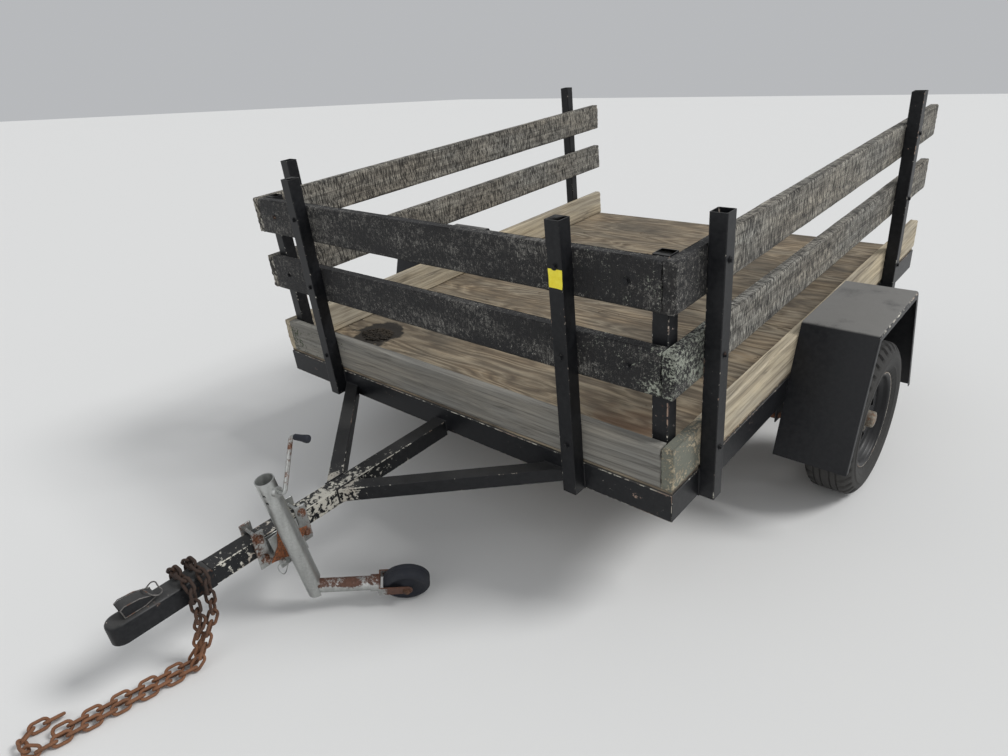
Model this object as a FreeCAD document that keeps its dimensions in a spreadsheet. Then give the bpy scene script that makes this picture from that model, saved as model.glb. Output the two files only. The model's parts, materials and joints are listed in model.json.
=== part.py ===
import FreeCAD
import Part
import Sketcher

import math
import os
import re

# Flatbed utility trailer with rail sides, parked nose-down on a bent swivel jack.
# Build frame: x to the trailer's right-hand side in the view from its front, y rearwards, z square
# to the deck, zero at the middle of the front rail's top outer edge. The stance then leans it to the
# ground: +Z up, ground at z = 0, origin below the middle of the whole. Millimetres and degrees.

# Name, value and meaning of each driving size
SIZES = (
    ("frame_width", 1940.0, "outside of the side rails"),
    ("frame_length", 2440.0, "front rail to rear rail, outside"),
    ("rail_height", 95.0, "depth of the channel rails"),
    ("rail_flange", 40.0, "width of the channel flanges"),
    ("rail_wall", 5.0, "thickness of the channel"),
    ("cross_spacing", 610.0, "distance between the cross members"),
    ("deck_thick", 12.0, "plywood sheet"),
    ("deck_inset", 3.0, "sheet edge behind the rail's face"),
    ("deck_seam", 3.0, "gap between the two sheets"),
    ("board_height", 140.0, "side board"),
    ("board_thick", 38.0, "side board"),
    ("mid_board_z", 312.0, "underside of the middle boards"),
    ("top_board_z", 557.0, "underside of the top boards"),
    ("post_size", 50.0, "square stake"),
    ("post_wall", 3.0, "square stake"),
    ("front_right_inset", 333.0, "front stake, right, from the side rail's face"),
    ("front_left_inset", 366.0, "front stake, left, from the side rail's face"),
    ("front_right_top", 781.0, "top of that stake"),
    ("front_left_top", 804.0, "top of that stake"),
    ("right_fore_y", 187.0, "right side stake, fore"),
    ("right_aft_back", 503.0, "right side stake, aft, from the rear rail's face"),
    ("right_fore_top", 780.0, "top of that stake"),
    ("right_aft_top", 820.0, "top of that stake"),
    ("left_fore_y", 223.0, "left side stake, fore"),
    ("left_aft_back", 231.0, "left side stake, aft, from the rear rail's face"),
    ("left_fore_top", 803.0, "top of that stake"),
    ("left_aft_top", 828.0, "top of that stake"),
    ("corner_post_gap", 2.0, "inner corner post to the boards"),
    ("drawbar_size", 60.0, "square drawbar tube"),
    ("drawbar_wall", 5.0, "drawbar tube"),
    ("drawbar_drop", 55.0, "top of the drawbar below the deck frame's top"),
    ("drawbar_length", 1150.0, "front rail to the drawbar's front end"),
    ("brace_size", 50.0, "square brace tube"),
    ("brace_wall", 4.0, "brace tube"),
    ("brace_inset", 430.0, "where a brace meets the front rail, from the side rail's face"),
    ("brace_apex_y", 495.0, "where the braces' middles cross the drawbar's middle"),
    ("coupler_wall", 4.0, "pressed coupler shell"),
    ("coupler_length", 290.0, "coupler, tail to nose"),
    ("coupler_reach", 85.0, "coupler's nose ahead of the drawbar's front end"),
    ("coupler_height", 64.0, "coupler shell"),
    ("ball_radius", 25.4, "2 inch hitch ball"),
    ("ball_clearance", 0.4, "socket wider than the ball, on the radius"),
    ("socket_depth", 44.0, "depth of the socket"),
    ("latch_width", 38.0, "coupler latch"),
    ("latch_length", 95.0, "coupler latch"),
    ("latch_height", 34.0, "coupler latch"),
    ("latch_gauge", 4.0, "latch plate"),
    ("latch_setback", 45.0, "latch behind the coupler's nose"),
    ("axle_y", 1145.0, "axle behind the front rail"),
    ("axle_drop", 264.0, "axle's middle below the deck frame's top"),
    ("axle_size", 50.0, "square axle tube"),
    ("axle_wall", 5.0, "axle tube"),
    ("tyre_gap", 67.0, "between a tyre and the side rail"),
    ("tyre_radius", 307.5, "outside of the tread"),
    ("tyre_width", 185.0, "over the sidewalls"),
    ("tread_width", 132.0, "over the tread's shoulders"),
    ("shoulder_drop", 24.0, "tread's edge down to the widest part's upper bend"),
    ("sidewall_drop", 62.0, "tread down to the tyre's widest part"),
    ("lip_radius", 191.0, "rim's lips, 14 inch wheel"),
    ("bead_gap", 0.3, "tyre round the rim's lips"),
    ("rim_width", 144.0, "over the rim's lips"),
    ("lip_height", 15.0, "flat face of a lip"),
    ("rim_gauge", 8.0, "disc plate and the rim behind it"),
    ("disc_offset", 30.0, "disc's rim joint outside the tyre's middle"),
    ("wheel_sides", 60.0, "flat sides that stand for each round of the wheels"),
    ("hub_radius", 40.0, "wheel hub"),
    ("cap_radius", 33.0, "dust cap"),
    ("cap_reach", 78.0, "dust cap's end outside the tyre's middle"),
    ("hub_back", 62.0, "hub's back end inside the tyre's middle"),
    ("spindle_radius", 15.0, "axle spindle"),
    ("running_gap", 0.05, "radial clearance of a shaft in its bore"),
    ("spindle_end", 38.0, "spindle's end outside the tyre's middle"),
    ("spindle_play", 3.0, "bore deeper than the spindle"),
    ("spring_inset", 40.0, "leaf spring's middle from the side rail's face"),
    ("spring_span", 660.0, "between a spring's eyes"),
    ("spring_width", 45.0, "leaf"),
    ("leaf_gauge", 8.0, "leaf"),
    ("eye_drop", 56.0, "spring eyes below the rails"),
    ("eye_radius", 16.0, "spring eye, outside"),
    ("hanger_gauge", 5.0, "hanger plate"),
    ("hanger_length", 60.0, "hanger plate, along the rail"),
    ("hanger_gap", 0.5, "hanger's play beside the spring"),
    ("clamp_rod", 12.0, "square rod of the spring clamps"),
    ("fender_cover", 9.0, "fender's outer face beyond the tyre"),
    ("fender_top", 192.0, "above the deck frame's top"),
    ("fender_flat", 464.0, "length of the flat top"),
    ("fender_foot", 790.0, "length over the lower edges"),
    ("fender_bottom", 282.0, "lower edges below the deck frame's top"),
    ("fender_gauge", 3.0, "plate"),
    ("fender_lip", 26.0, "depth of the lip along the outer edge"),
    ("jack_x", 107.0, "jack tube's middle from the drawbar's middle"),
    ("jack_back", 430.0, "jack pivot behind the drawbar's front end"),
    ("jack_z", 110.0, "jack pivot below the deck frame's top"),
    ("jack_lean", 6.8, "tube's top leans forward"),
    ("jack_rise", 285.0, "tube above its pivot"),
    ("jack_fall", 187.0, "tube below its pivot"),
    ("jack_radius", 28.5, "outer tube"),
    ("jack_wall", 3.0, "outer tube"),
    ("leg_radius", 22.5, "inner leg"),
    ("leg_wall", 3.0, "inner leg"),
    ("leg_inside", 110.0, "leg inside the outer tube, above its kink"),
    ("guide_length", 22.0, "guide bush at the leg's upper end"),
    ("slide_gap", 0.3, "guide bush to the outer tube's bore"),
    ("kink_rise", 24.0, "kink above the outer tube's lower end"),
    ("foot_out_x", 186.0, "jockey wheel's middle from the kink, sideways"),
    ("foot_out_y", 218.0, "jockey wheel's middle from the kink, rearwards"),
    ("foot_tilt", 22.0, "jockey wheel's axle dips on the near side"),
    ("jockey_radius", 75.0, "jockey wheel"),
    ("jockey_width", 50.0, "jockey wheel"),
    ("jockey_tread", 30.0, "width of its flat tread"),
    ("jockey_shoulder", 12.0, "step from its tread to its sides"),
    ("jockey_axle", 6.5, "radius of its axle bolt"),
    ("jockey_side_gap", 5.0, "fork plate to the wheel's side"),
    ("fork_gauge", 5.0, "fork plate"),
    ("fork_height", 38.0, "fork plate"),
    ("fork_crown_gap", 8.0, "fork's crown to the wheel's tread"),
    ("collar_length", 26.0, "collar between leg and fork"),
    ("plate_gauge", 5.0, "jack's swivel plate and mount plates"),
    ("swivel_plate_y", 100.0, "swivel plate along the drawbar"),
    ("swivel_plate_z", 124.0, "swivel plate's height"),
    ("swivel_gap", 0.3, "between the swivel's faces"),
    ("swivel_reach", 26.0, "swivel plate from the drawbar's side"),
    ("spigot_radius", 21.0, "swivel spigot"),
    ("pivot_pin", 9.0, "radius of the swivel pin"),
    ("clamp_spacing", 150.0, "between the mount's clamp bars"),
    ("clamp_width", 38.0, "clamp bar along the drawbar"),
    ("clamp_height", 124.0, "clamp bar"),
    ("clamp_bolt", 6.0, "radius of a clamp bolt"),
    ("clamp_head", 6.0, "thickness of a bolt head"),
    ("crank_rise", 245.0, "crank shaft above the pivot"),
    ("crank_turn", 16.0, "crank shaft swings rearwards from sideways"),
    ("crank_swing", 37.0, "crank arm from the tube's line"),
    ("crank_arm", 162.0, "crank arm"),
    ("crank_offset", 60.0, "arm from the tube's middle"),
    ("crank_rod", 6.5, "radius of the crank's rod"),
    ("crank_boss", 16.0, "radius of the boss around the shaft"),
    ("grip_length", 66.0, "crank grip"),
    ("grip_radius", 12.0, "crank grip"),
    ("link_wire", 10.0, "chain wire, over the ridges of its four-sided section"),
    ("link_width", 35.0, "over a link"),
    ("link_pitch", 35.9, "inside length of a link"),
    ("link_play", 0.3, "gap between linked links and to the coupler below them"),
    ("ground_play", 4.0, "ground to the flat links, for the one that dips down to them"),
    ("chain_back", 235.0, "middle of the two chains behind the coupler's nose"),
    ("chain_apart", 44.0, "between the two chains on the coupler"),
    ("chain_drift", 6.0, "turn of the run on the ground towards the coupler"),
    ("short_links", 2.0, "links that hang on the coupler's far side"),
    ("plumb_links", 3.0, "links that hang plumb below the coupler's edge"),
    ("ground_links", 11.0, "links of the rear chain that run forward on the ground"),
    ("return_links", 2.0, "links that run back after its turn"),
    ("front_links", 3.0, "links of the front chain that hang beside the coupler"),
    ("parked_pitch", 6.3, "nose-down lean on the ground"),
)

# Sizes worked out from the ones above, in the order they are needed
DERIVED = (
    ("front_right_x", "frame_width / 2 - front_right_inset"),
    ("front_left_x", "frame_width / 2 - front_left_inset"),
    ("right_aft_y", "frame_length - right_aft_back"),
    ("left_aft_y", "frame_length - left_aft_back"),
    ("brace_foot_x", "frame_width / 2 - brace_inset"),
    ("coupler_tip_y", "drawbar_length + coupler_reach"),
    ("jack_y", "drawbar_length - jack_back"),
    ("chain_y", "coupler_tip_y - chain_back"),
    ("wheel_track", "frame_width + 2 * tyre_gap + tyre_width"),
    ("spring_x", "frame_width / 2 - spring_inset"),
    ("fender_width", "tyre_gap + tyre_width + fender_cover"),
    ("stance_lift", "tyre_radius + axle_drop * cos(parked_pitch) - axle_y * sin(parked_pitch)"),
    ("rearmost", "frame_length * cos(parked_pitch) + rail_height * sin(parked_pitch)"),
    ("foremost", "1"),
    ("stance_back", "(foremost - rearmost) / 2"),
    ("brace_run", "sqrt(brace_foot_x ^ 2 + brace_apex_y ^ 2)"),
    ("brace_slope", "brace_apex_y / brace_foot_x"),
    ("brace_foot_half", "brace_size / 2 * brace_run / brace_apex_y"),
    ("brace_apex_half", "brace_size / 2 * brace_run / brace_foot_x"),
    ("swivel_face", "drawbar_size / 2 + swivel_reach"),
    ("bar_middle", "jack_z - drawbar_drop - drawbar_size / 2"),
    ("seat_sag", "axle_drop - axle_size / 2 - rail_height - eye_drop - 3 * leaf_gauge"),
)

doc = FreeCAD.newDocument("utility_trailer")
sheet = doc.addObject("Spreadsheet::Sheet", "sizes")
NAMES = [row[0] for row in SIZES] + [row[0] for row in DERIVED]
NAME_PATTERN = re.compile(r"\b(" + "|".join(NAMES) + r")\b")


CELLS = {}


def fill_sheet():
    for line, (name, value, meaning) in enumerate(SIZES, start=1):
        sheet.set(f"A{line}", name)
        sheet.set(f"B{line}", str(value))
        sheet.set(f"C{line}", meaning)
        sheet.setAlias(f"B{line}", name)
        CELLS[name] = f"B{line}"
    doc.recompute()
    for line, (name, formula) in enumerate(DERIVED, start=len(SIZES) + 1):
        sheet.set(f"A{line}", name)
        sheet.set(f"B{line}", "=" + formula)
        sheet.setAlias(f"B{line}", name)
        CELLS[name] = f"B{line}"
        doc.recompute()


def on_sheet(formula):
    return NAME_PATTERN.sub(r"sizes.\1", str(formula))


def value(name):
    return float(sheet.get(name))


fill_sheet()
stance = doc.addObject("Part::Feature", "stance")
stance.setExpression("Placement", on_sheet(
    "placement(vector(0; stance_back; stance_lift); rotation(vector(1; 0; 0); parked_pitch))"))
doc.recompute()
NODES = []


# Shared building steps

def node(thing, label):
    thing.Label = label
    NODES.append(thing)
    return thing


def seat(thing, x, y, z, axis="0; 0; 1", angle="0"):
    """Place a piece in the build frame, turned about one axis, then lean it with the trailer."""
    thing.setExpression("Placement", on_sheet(
        f"stance.Placement * placement(vector({x}; {y}; {z}); rotation(vector({axis}); {angle}))"))


def new_body(name):
    return doc.addObject("PartDesign::Body", name)


def origin_plane(body, role):
    return next(item for item in body.Origin.OriginFeatures if item.Role == role)


def outline(body, name, plane, loops, offset=None):
    """A sketch on a plane of the body's origin; each corner's two coordinates are formulas."""
    sketch = body.newObject("Sketcher::SketchObject", name)
    sketch.AttachmentSupport = (origin_plane(body, plane), [""])
    sketch.MapMode = "FlatFace"
    if offset is not None:
        sketch.setExpression("AttachmentOffset.Base.z", on_sheet(offset))
    for loop in loops:
        add_loop(sketch, loop)
    return sketch


def add_loop(sketch, corners):
    first = len(sketch.Geometry)
    count = len(corners)
    for step in range(count):
        here = 2 * math.pi * step / count
        there = 2 * math.pi * (step + 1) / count
        start = FreeCAD.Vector(100 * math.cos(here), 100 * math.sin(here), 0)
        end = FreeCAD.Vector(100 * math.cos(there), 100 * math.sin(there), 0)
        sketch.addGeometry(Part.LineSegment(start, end), False)
    for step in range(count):
        following = first + (step + 1) % count
        sketch.addConstraint(Sketcher.Constraint("Coincident", first + step, 2, following, 1))
    for step, corner in enumerate(corners):
        for kind, formula in zip(("DistanceX", "DistanceY"), corner):
            index = sketch.addConstraint(Sketcher.Constraint(kind, -1, 1, first + step, 1, 1.0))
            sketch.setExpression(f"Constraints[{index}]", on_sheet(formula))


def pad(body, sketch, length, reverse=False, both_ways=False):
    feature = body.newObject("PartDesign::Pad", sketch.Name + "_pad")
    feature.Profile = sketch
    feature.setExpression("Length", on_sheet(length))
    feature.Reversed = reverse
    feature.Midplane = both_ways
    sketch.Visibility = False
    return feature


def pocket(body, sketch, length=None, reverse=False, both_ways=False):
    feature = body.newObject("PartDesign::Pocket", sketch.Name + "_cut")
    feature.Profile = sketch
    if length is None:
        feature.Type = 1
    else:
        feature.setExpression("Length", on_sheet(length))
    feature.Reversed = reverse
    feature.Midplane = both_ways
    return feature


def box(name, length, width, height, x=0, y=0, z=0):
    block = doc.addObject("Part::Box", name)
    block.setExpression("Length", on_sheet(length))
    block.setExpression("Width", on_sheet(width))
    block.setExpression("Height", on_sheet(height))
    block.setExpression("Placement", on_sheet(
        f"placement(vector({x}; {y}; {z}); rotation(vector(0; 0; 1); 0))"))
    return block


def rod(name, radius, height, x=0, y=0, z=0, axis="0; 0; 1", angle="0"):
    """A round bar that starts at a point and runs along local z, turned about one axis."""
    bar = doc.addObject("Part::Cylinder", name)
    bar.setExpression("Radius", on_sheet(radius))
    bar.setExpression("Height", on_sheet(height))
    bar.setExpression("Placement", on_sheet(
        f"placement(vector({x}; {y}; {z}); rotation(vector({axis}); {angle}))"))
    return bar


ALONG_X = dict(axis="0; 1; 0", angle="90")


def hex_bar(name, radius, height, x, y, z):
    """A bolt or its head: six sides, along the trailer's x."""
    bar = doc.addObject("Part::Prism", name)
    bar.Polygon = 6
    bar.setExpression("Circumradius", on_sheet(radius))
    bar.setExpression("Height", on_sheet(height))
    bar.setExpression("Placement", on_sheet(
        f"placement(vector({x}; {y}; {z}); rotation(vector(0; 1; 0); 90))"))
    return bar


def fuse(name, pieces):
    joined = doc.addObject("Part::MultiFuse", name)
    joined.Shapes = pieces
    return joined


def cut(name, base, tool):
    result = doc.addObject("Part::Cut", name)
    result.Base = base
    result.Tool = tool
    return result


def group(name, pieces):
    """Like pieces that don't touch, kept as one node."""
    together = doc.addObject("Part::Compound", name)
    together.Links = pieces
    return together


def square_ring(half, wall):
    outer = [(f"-({half})", f"-({half})"), (half, f"-({half})"), (half, half), (f"-({half})", half)]
    inner_half = f"({half} - {wall})"
    inner = [(f"-{inner_half}", f"-{inner_half}"), (inner_half, f"-{inner_half}"),
             (inner_half, inner_half), (f"-{inner_half}", inner_half)]
    return [outer, inner]


def channel_section(height, flange, wall):
    return [("0", "0"), (flange, "0"), (flange, f"-{wall}"), (wall, f"-{wall}"),
            (wall, f"-({height} - {wall})"), (flange, f"-({height} - {wall})"),
            (flange, f"-({height})"), ("0", f"-({height})")]


# Deck frame: four channel rails with mitred corners, their webs outside

def build_rail(label, length, x, y, turn):
    body = new_body(label)
    section = outline(body, label + "_section", "YZ_Plane",
                      [channel_section("rail_height", "rail_flange", "rail_wall")])
    pad(body, section, length, both_ways=True)
    past = "rail_wall"
    mitres = []
    for side in ("", "-"):
        mitres.append([
            (f"{side}({length} / 2 + {past})", f"-{past}"),
            (f"{side}({length} / 2 + {past})", f"rail_flange + {past}"),
            (f"{side}({length} / 2 - rail_flange - {past})", f"rail_flange + {past}"),
        ])
    corner_cuts = outline(body, label + "_mitres", "XY_Plane", mitres)
    pocket(body, corner_cuts, both_ways=True)
    seat(body, x, y, "0", angle=turn)
    node(body, label)


def build_deck_frame():
    build_rail("frame_front_rail", "frame_width", "0", "0", "0")
    build_rail("frame_rear_rail", "frame_width", "0", "frame_length", "180")
    build_rail("frame_right_rail", "frame_length", "frame_width / 2", "frame_length / 2", "90")
    build_rail("frame_left_rail", "frame_length", "-frame_width / 2", "frame_length / 2", "-90")
    members = []
    for place in (-1, 0, 1):
        name = f"cross_member_{place + 2}"
        body = new_body(name)
        section = outline(body, name + "_section", "YZ_Plane",
                          [channel_section("rail_height - 2 * rail_wall", "rail_flange", "rail_wall")])
        pad(body, section, "frame_width - 2 * rail_wall", both_ways=True)
        body.setExpression("Placement", on_sheet(
            f"placement(vector(0; frame_length / 2 + {place} * cross_spacing; -rail_wall);"
            " rotation(vector(0; 0; 1); 0))"))
        members.append(body)
    together = group("cross_members", members)
    seat(together, "0", "0", "0")
    node(together, "cross_members")


# Load floor and boards

def build_deck():
    depth = "(frame_length / 2 - deck_inset - deck_seam / 2)"
    for label, start in (("deck_front_sheet", "deck_inset"),
                         ("deck_rear_sheet", "frame_length / 2 + deck_seam / 2")):
        block = box(label, "frame_width - 2 * deck_inset", depth, "deck_thick")
        seat(block, "-(frame_width / 2 - deck_inset)", start, "0")
        node(block, label)


def build_boards():
    # Level and underside of each row of boards
    levels = (("low", "deck_thick"), ("middle", "mid_board_z"), ("top", "top_board_z"))
    for level, underside in levels:
        front = box(f"board_front_{level}", "frame_width - 2 * board_thick", "board_thick",
                    "board_height")
        seat(front, "-(frame_width / 2 - board_thick)", "0", underside)
        node(front, f"board_front_{level}")
        for side, x in (("right", "frame_width / 2 - board_thick"), ("left", "-frame_width / 2")):
            plank = box(f"board_{side}_{level}", "board_thick", "frame_length", "board_height")
            seat(plank, x, "0", underside)
            node(plank, f"board_{side}_{level}")


def build_posts():
    half = "post_size / 2"
    # Name, middle in x and y, top and foot of each stake
    stakes = (
        ("post_front_right", "front_right_x", f"-{half}", "front_right_top", "-rail_height"),
        ("post_front_left", "-front_left_x", f"-{half}", "front_left_top", "-rail_height"),
        ("post_right_fore", f"frame_width / 2 + {half}", "right_fore_y", "right_fore_top",
         "-rail_height"),
        ("post_right_aft", f"frame_width / 2 + {half}", "right_aft_y", "right_aft_top",
         "-rail_height"),
        ("post_left_fore", f"-(frame_width / 2 + {half})", "left_fore_y", "left_fore_top",
         "-rail_height"),
        ("post_left_aft", f"-(frame_width / 2 + {half})", "left_aft_y", "left_aft_top",
         "-rail_height"),
        ("corner_post_right", f"frame_width / 2 - board_thick - corner_post_gap - {half}",
         f"board_thick + corner_post_gap + {half}", "top_board_z + board_height", "deck_thick"),
        ("corner_post_left", f"-(frame_width / 2 - board_thick - corner_post_gap - {half})",
         f"board_thick + corner_post_gap + {half}", "top_board_z + board_height", "deck_thick"),
    )
    for label, x, y, top, foot in stakes:
        body = new_body(label)
        section = outline(body, label + "_section", "XY_Plane", square_ring(half, "post_wall"))
        pad(body, section, f"{top} - ({foot})")
        seat(body, x, y, foot)
        node(body, label)


# Drawbar, braces and coupler

def build_drawbar():
    body = new_body("drawbar")
    section = outline(body, "drawbar_section", "XZ_Plane", square_ring("drawbar_size / 2",
                                                                       "drawbar_wall"))
    pad(body, section, "drawbar_length")
    seat(body, "0", "0", "-(drawbar_drop + drawbar_size / 2)")
    node(body, "drawbar")


def build_braces():
    side_x = "drawbar_size / 2"
    apex_y = f"(-brace_apex_y + {side_x} * brace_slope)"
    bore_half = "(brace_size / 2 - brace_wall) / (brace_size / 2)"
    for label, sign in (("brace_right", ""), ("brace_left", "-")):
        body = new_body(label)
        plan = [
            (f"{sign}(brace_foot_x + brace_foot_half)", "0"),
            (f"{sign}(brace_foot_x - brace_foot_half)", "0"),
            (f"{sign}({side_x})", f"{apex_y} + brace_apex_half"),
            (f"{sign}({side_x})", f"{apex_y} - brace_apex_half"),
        ]
        bar = outline(body, label + "_plan", "XY_Plane", [plan])
        pad(body, bar, "brace_size", reverse=True)
        past = "brace_size"
        bore = [
            (f"{sign}(brace_foot_x + {past} + brace_foot_half * {bore_half})",
             f"{past} * brace_slope"),
            (f"{sign}(brace_foot_x + {past} - brace_foot_half * {bore_half})",
             f"{past} * brace_slope"),
            (f"{sign}({side_x} - {past})",
             f"{apex_y} - {past} * brace_slope + brace_apex_half * {bore_half}"),
            (f"{sign}({side_x} - {past})",
             f"{apex_y} - {past} * brace_slope - brace_apex_half * {bore_half}"),
        ]
        hollow = outline(body, label + "_bore", "XY_Plane", [bore], offset="-brace_wall")
        pocket(body, hollow, "brace_size - 2 * brace_wall")
        seat(body, "0", "0", "-drawbar_drop")
        node(body, label)


def build_coupler():
    width = "(drawbar_size + 2 * coupler_wall)"
    nose = f"{width} / 2"
    straight = f"(coupler_length - {nose})"
    tail = "-(coupler_tip_y - coupler_length)"
    shell = fuse("coupler_blank", [
        box("coupler_channel", width, straight, "coupler_height",
            f"-{width} / 2", f"-{straight}", "-coupler_height"),
        rod("coupler_nose", nose, "coupler_height", "0", f"-{straight}", "-coupler_height"),
    ])
    socket_radius = "(ball_radius + ball_clearance)"
    hollow = fuse("coupler_hollow", [
        box("coupler_slot", "drawbar_size", f"{straight} - {socket_radius} - coupler_wall",
            "coupler_height - coupler_wall", "-drawbar_size / 2",
            f"-({straight} - {socket_radius} - coupler_wall)", "-coupler_height"),
        rod("coupler_socket", socket_radius, "socket_depth", "0", f"-{straight}",
            "-coupler_height"),
    ])
    body = cut("coupler_cut", shell, hollow)
    seat(body, "0", tail, "-(drawbar_drop - coupler_wall)")
    node(body, "coupler_body")

    latch = new_body("coupler_latch")
    side = outline(latch, "latch_side", "YZ_Plane", [[
        ("0", "0"), ("latch_length", "0"), ("latch_length", "latch_gauge"),
        ("latch_length * 0.55", "latch_height * 0.8"), ("latch_length * 0.2", "latch_height"),
        ("0", "latch_height * 0.6"),
    ]])
    pad(latch, side, "latch_width", both_ways=True)
    under = outline(latch, "latch_hollow", "YZ_Plane", [[
        ("latch_length * 0.62", "-latch_gauge"), ("latch_length + latch_gauge", "-latch_gauge"),
        ("latch_length + latch_gauge", "0"), ("latch_length * 0.62", "latch_height * 0.3"),
    ]])
    pocket(latch, under, "latch_width - 2 * latch_gauge", both_ways=True)
    seat(latch, "0", "-(coupler_tip_y - latch_setback)", "-(drawbar_drop - coupler_wall)")
    node(latch, "coupler_latch")


# Running gear

def build_fender(label, side):
    body = new_body(label)
    inside = "fender_gauge"

    def folded(offset):
        top = f"(fender_top - {offset})"
        flat = f"(fender_flat / 2 - {offset})"
        foot = f"(fender_foot / 2 - {offset} * 1.05)"
        return [(f"-{foot}", "-fender_bottom"), (f"-{flat}", top), (flat, top),
                (foot, "-fender_bottom")]

    skin = folded("0") + list(reversed(folded(inside)))
    sheet_side = outline(body, label + "_fold", "YZ_Plane", [skin])
    pad(body, sheet_side, "fender_width")
    rim = folded(inside) + list(reversed(folded("fender_lip")))
    lip = outline(body, label + "_lip", "YZ_Plane", [rim], offset="fender_width - fender_gauge")
    pad(body, lip, "fender_gauge")
    turn = "0" if side > 0 else "180"
    seat(body, f"{side} * frame_width / 2", "axle_y", "0", angle=turn)
    node(body, label)


# The leaves' flattest stretch beside the axle, as a share of their half length
SEAT_SHARE = 0.225


def leaf_pack_outline():
    """Side view of three stacked leaves: one sagging curve, stepped where each leaf ends."""
    def point(share, leaves):
        return (f"{share:.3f} * spring_span / 2",
                f"-(seat_sag * (1 - {share * share:.5f}) + {leaves} * leaf_gauge)")

    # Each leaf's half length as a share of the longest one
    shares = (1.0, 0.72, 0.45, 0.0)
    upper = [point(share, 0) for share in (0.0, SEAT_SHARE, 0.45, 0.72, 0.86, 1.0)]
    lower = []
    for leaf in range(3):
        for part in (0.0, 0.5, 1.0):
            lower.append(point(shares[leaf] + (shares[leaf + 1] - shares[leaf]) * part, leaf + 1))
    half = upper + lower[:-1]
    mirrored = [("-" + along, height) for along, height in reversed(half[1:])]
    return half + [lower[-1]] + mirrored


def build_springs():
    bar = "clamp_rod"
    reach_x = f"(spring_width / 2 + {bar} / 2 + hanger_gap)"
    reach_y = f"(axle_size / 2 + {bar} / 2 + hanger_gap)"
    leaf_top = f"(seat_sag * (1 - {SEAT_SHARE} * (2 * {reach_y} + {bar}) / spring_span))"
    plate_top = "(seat_sag + 3 * leaf_gauge + axle_size)"
    for label, sign in (("spring_right", ""), ("spring_left", "-")):
        leaves = new_body(label + "_leaves")
        blade = outline(leaves, label + "_side", "YZ_Plane", [leaf_pack_outline()])
        pad(leaves, blade, "spring_width", both_ways=True)
        eyes = []
        clamp = [box(label + "_plate", f"2 * ({reach_x} + {bar})", f"2 * ({reach_y} + {bar})",
                     "hanger_gauge", f"-({reach_x} + {bar})", f"-({reach_y} + {bar})",
                     f"-({plate_top} + hanger_gauge)")]
        for end in (-1, 1):
            place = ("-spring_width / 2", f"{end} * spring_span / 2", "0")
            eyes.append(rod(f"{label}_eye_{end + 2}", "eye_radius", "spring_width", *place,
                            **ALONG_X))
            clamp.append(box(f"{label}_bow_{end + 2}", f"2 * {reach_x} + {bar}", bar, bar,
                             f"-({reach_x} + {bar} / 2)", f"{end} * {reach_y} - {bar} / 2",
                             f"-({leaf_top} - hanger_gap)"))
            for flank in (-1, 1):
                clamp.append(box(f"{label}_leg_{end + 2}_{flank + 2}", bar, bar,
                                 f"{plate_top} - {leaf_top} + 2 * hanger_gauge + {bar} / 2",
                                 f"{flank} * {reach_x} - {bar} / 2",
                                 f"{end} * {reach_y} - {bar} / 2",
                                 f"-({plate_top} + 2 * hanger_gauge)"))
        together = group(label + "_all", [fuse(label + "_eyed", [leaves] + eyes),
                                          fuse(label + "_clamp", clamp)])
        seat(together, f"{sign}spring_x", "axle_y", "-(rail_height + eye_drop)")
        node(together, label)


def build_hangers():
    brackets = []
    inner = "(spring_width / 2 + hanger_gap)"
    for side in (-1, 1):
        for end in (-1, 1):
            name = f"hanger_{side + 2}_{end + 2}"
            drop = "(eye_drop + eye_radius)"
            half = f"({inner} + hanger_gauge)"
            body = new_body(name)
            section = outline(body, name + "_section", "XZ_Plane", [[
                (f"-{half}", "0"), (half, "0"), (half, f"-{drop}"), (inner, f"-{drop}"),
                (inner, "-hanger_gauge"), (f"-{inner}", "-hanger_gauge"),
                (f"-{inner}", f"-{drop}"), (f"-{half}", f"-{drop}"),
            ]])
            pad(body, section, "hanger_length", both_ways=True)
            body.setExpression("Placement", on_sheet(
                f"placement(vector({side} * spring_x; axle_y + {end} * spring_span / 2;"
                " -rail_height); rotation(vector(0; 0; 1); 0))"))
            brackets.append(body)
    together = group("spring_hangers", brackets)
    seat(together, "0", "0", "0")
    node(together, "spring_hangers")


def build_axle():
    reach = "(wheel_track / 2 - hub_back - running_gap - 12)"
    tube = new_body("axle_tube")
    section = outline(tube, "axle_section", "YZ_Plane", square_ring("axle_size / 2", "axle_wall"))
    pad(tube, section, f"2 * {reach}", both_ways=True)
    pieces = [tube]
    for name, sign in (("right", 1), ("left", -1)):
        start = f"{reach} - axle_size"
        length = f"wheel_track / 2 + spindle_end - ({start})"
        low = start if sign > 0 else "-(wheel_track / 2 + spindle_end)"
        pieces.append(rod(f"spindle_{name}", "spindle_radius", length, low, "0", "0", **ALONG_X))
        shoulder = f"{reach} - axle_size" if sign > 0 else f"-({reach})"
        pieces.append(rod(f"spindle_root_{name}", "axle_size / 2 - axle_wall / 2", "axle_size",
                          shoulder, "0", "0", **ALONG_X))
    axle = fuse("axle_all", pieces)
    seat(axle, "0", "axle_y", "-axle_drop")
    node(axle, "axle_beam")


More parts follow.
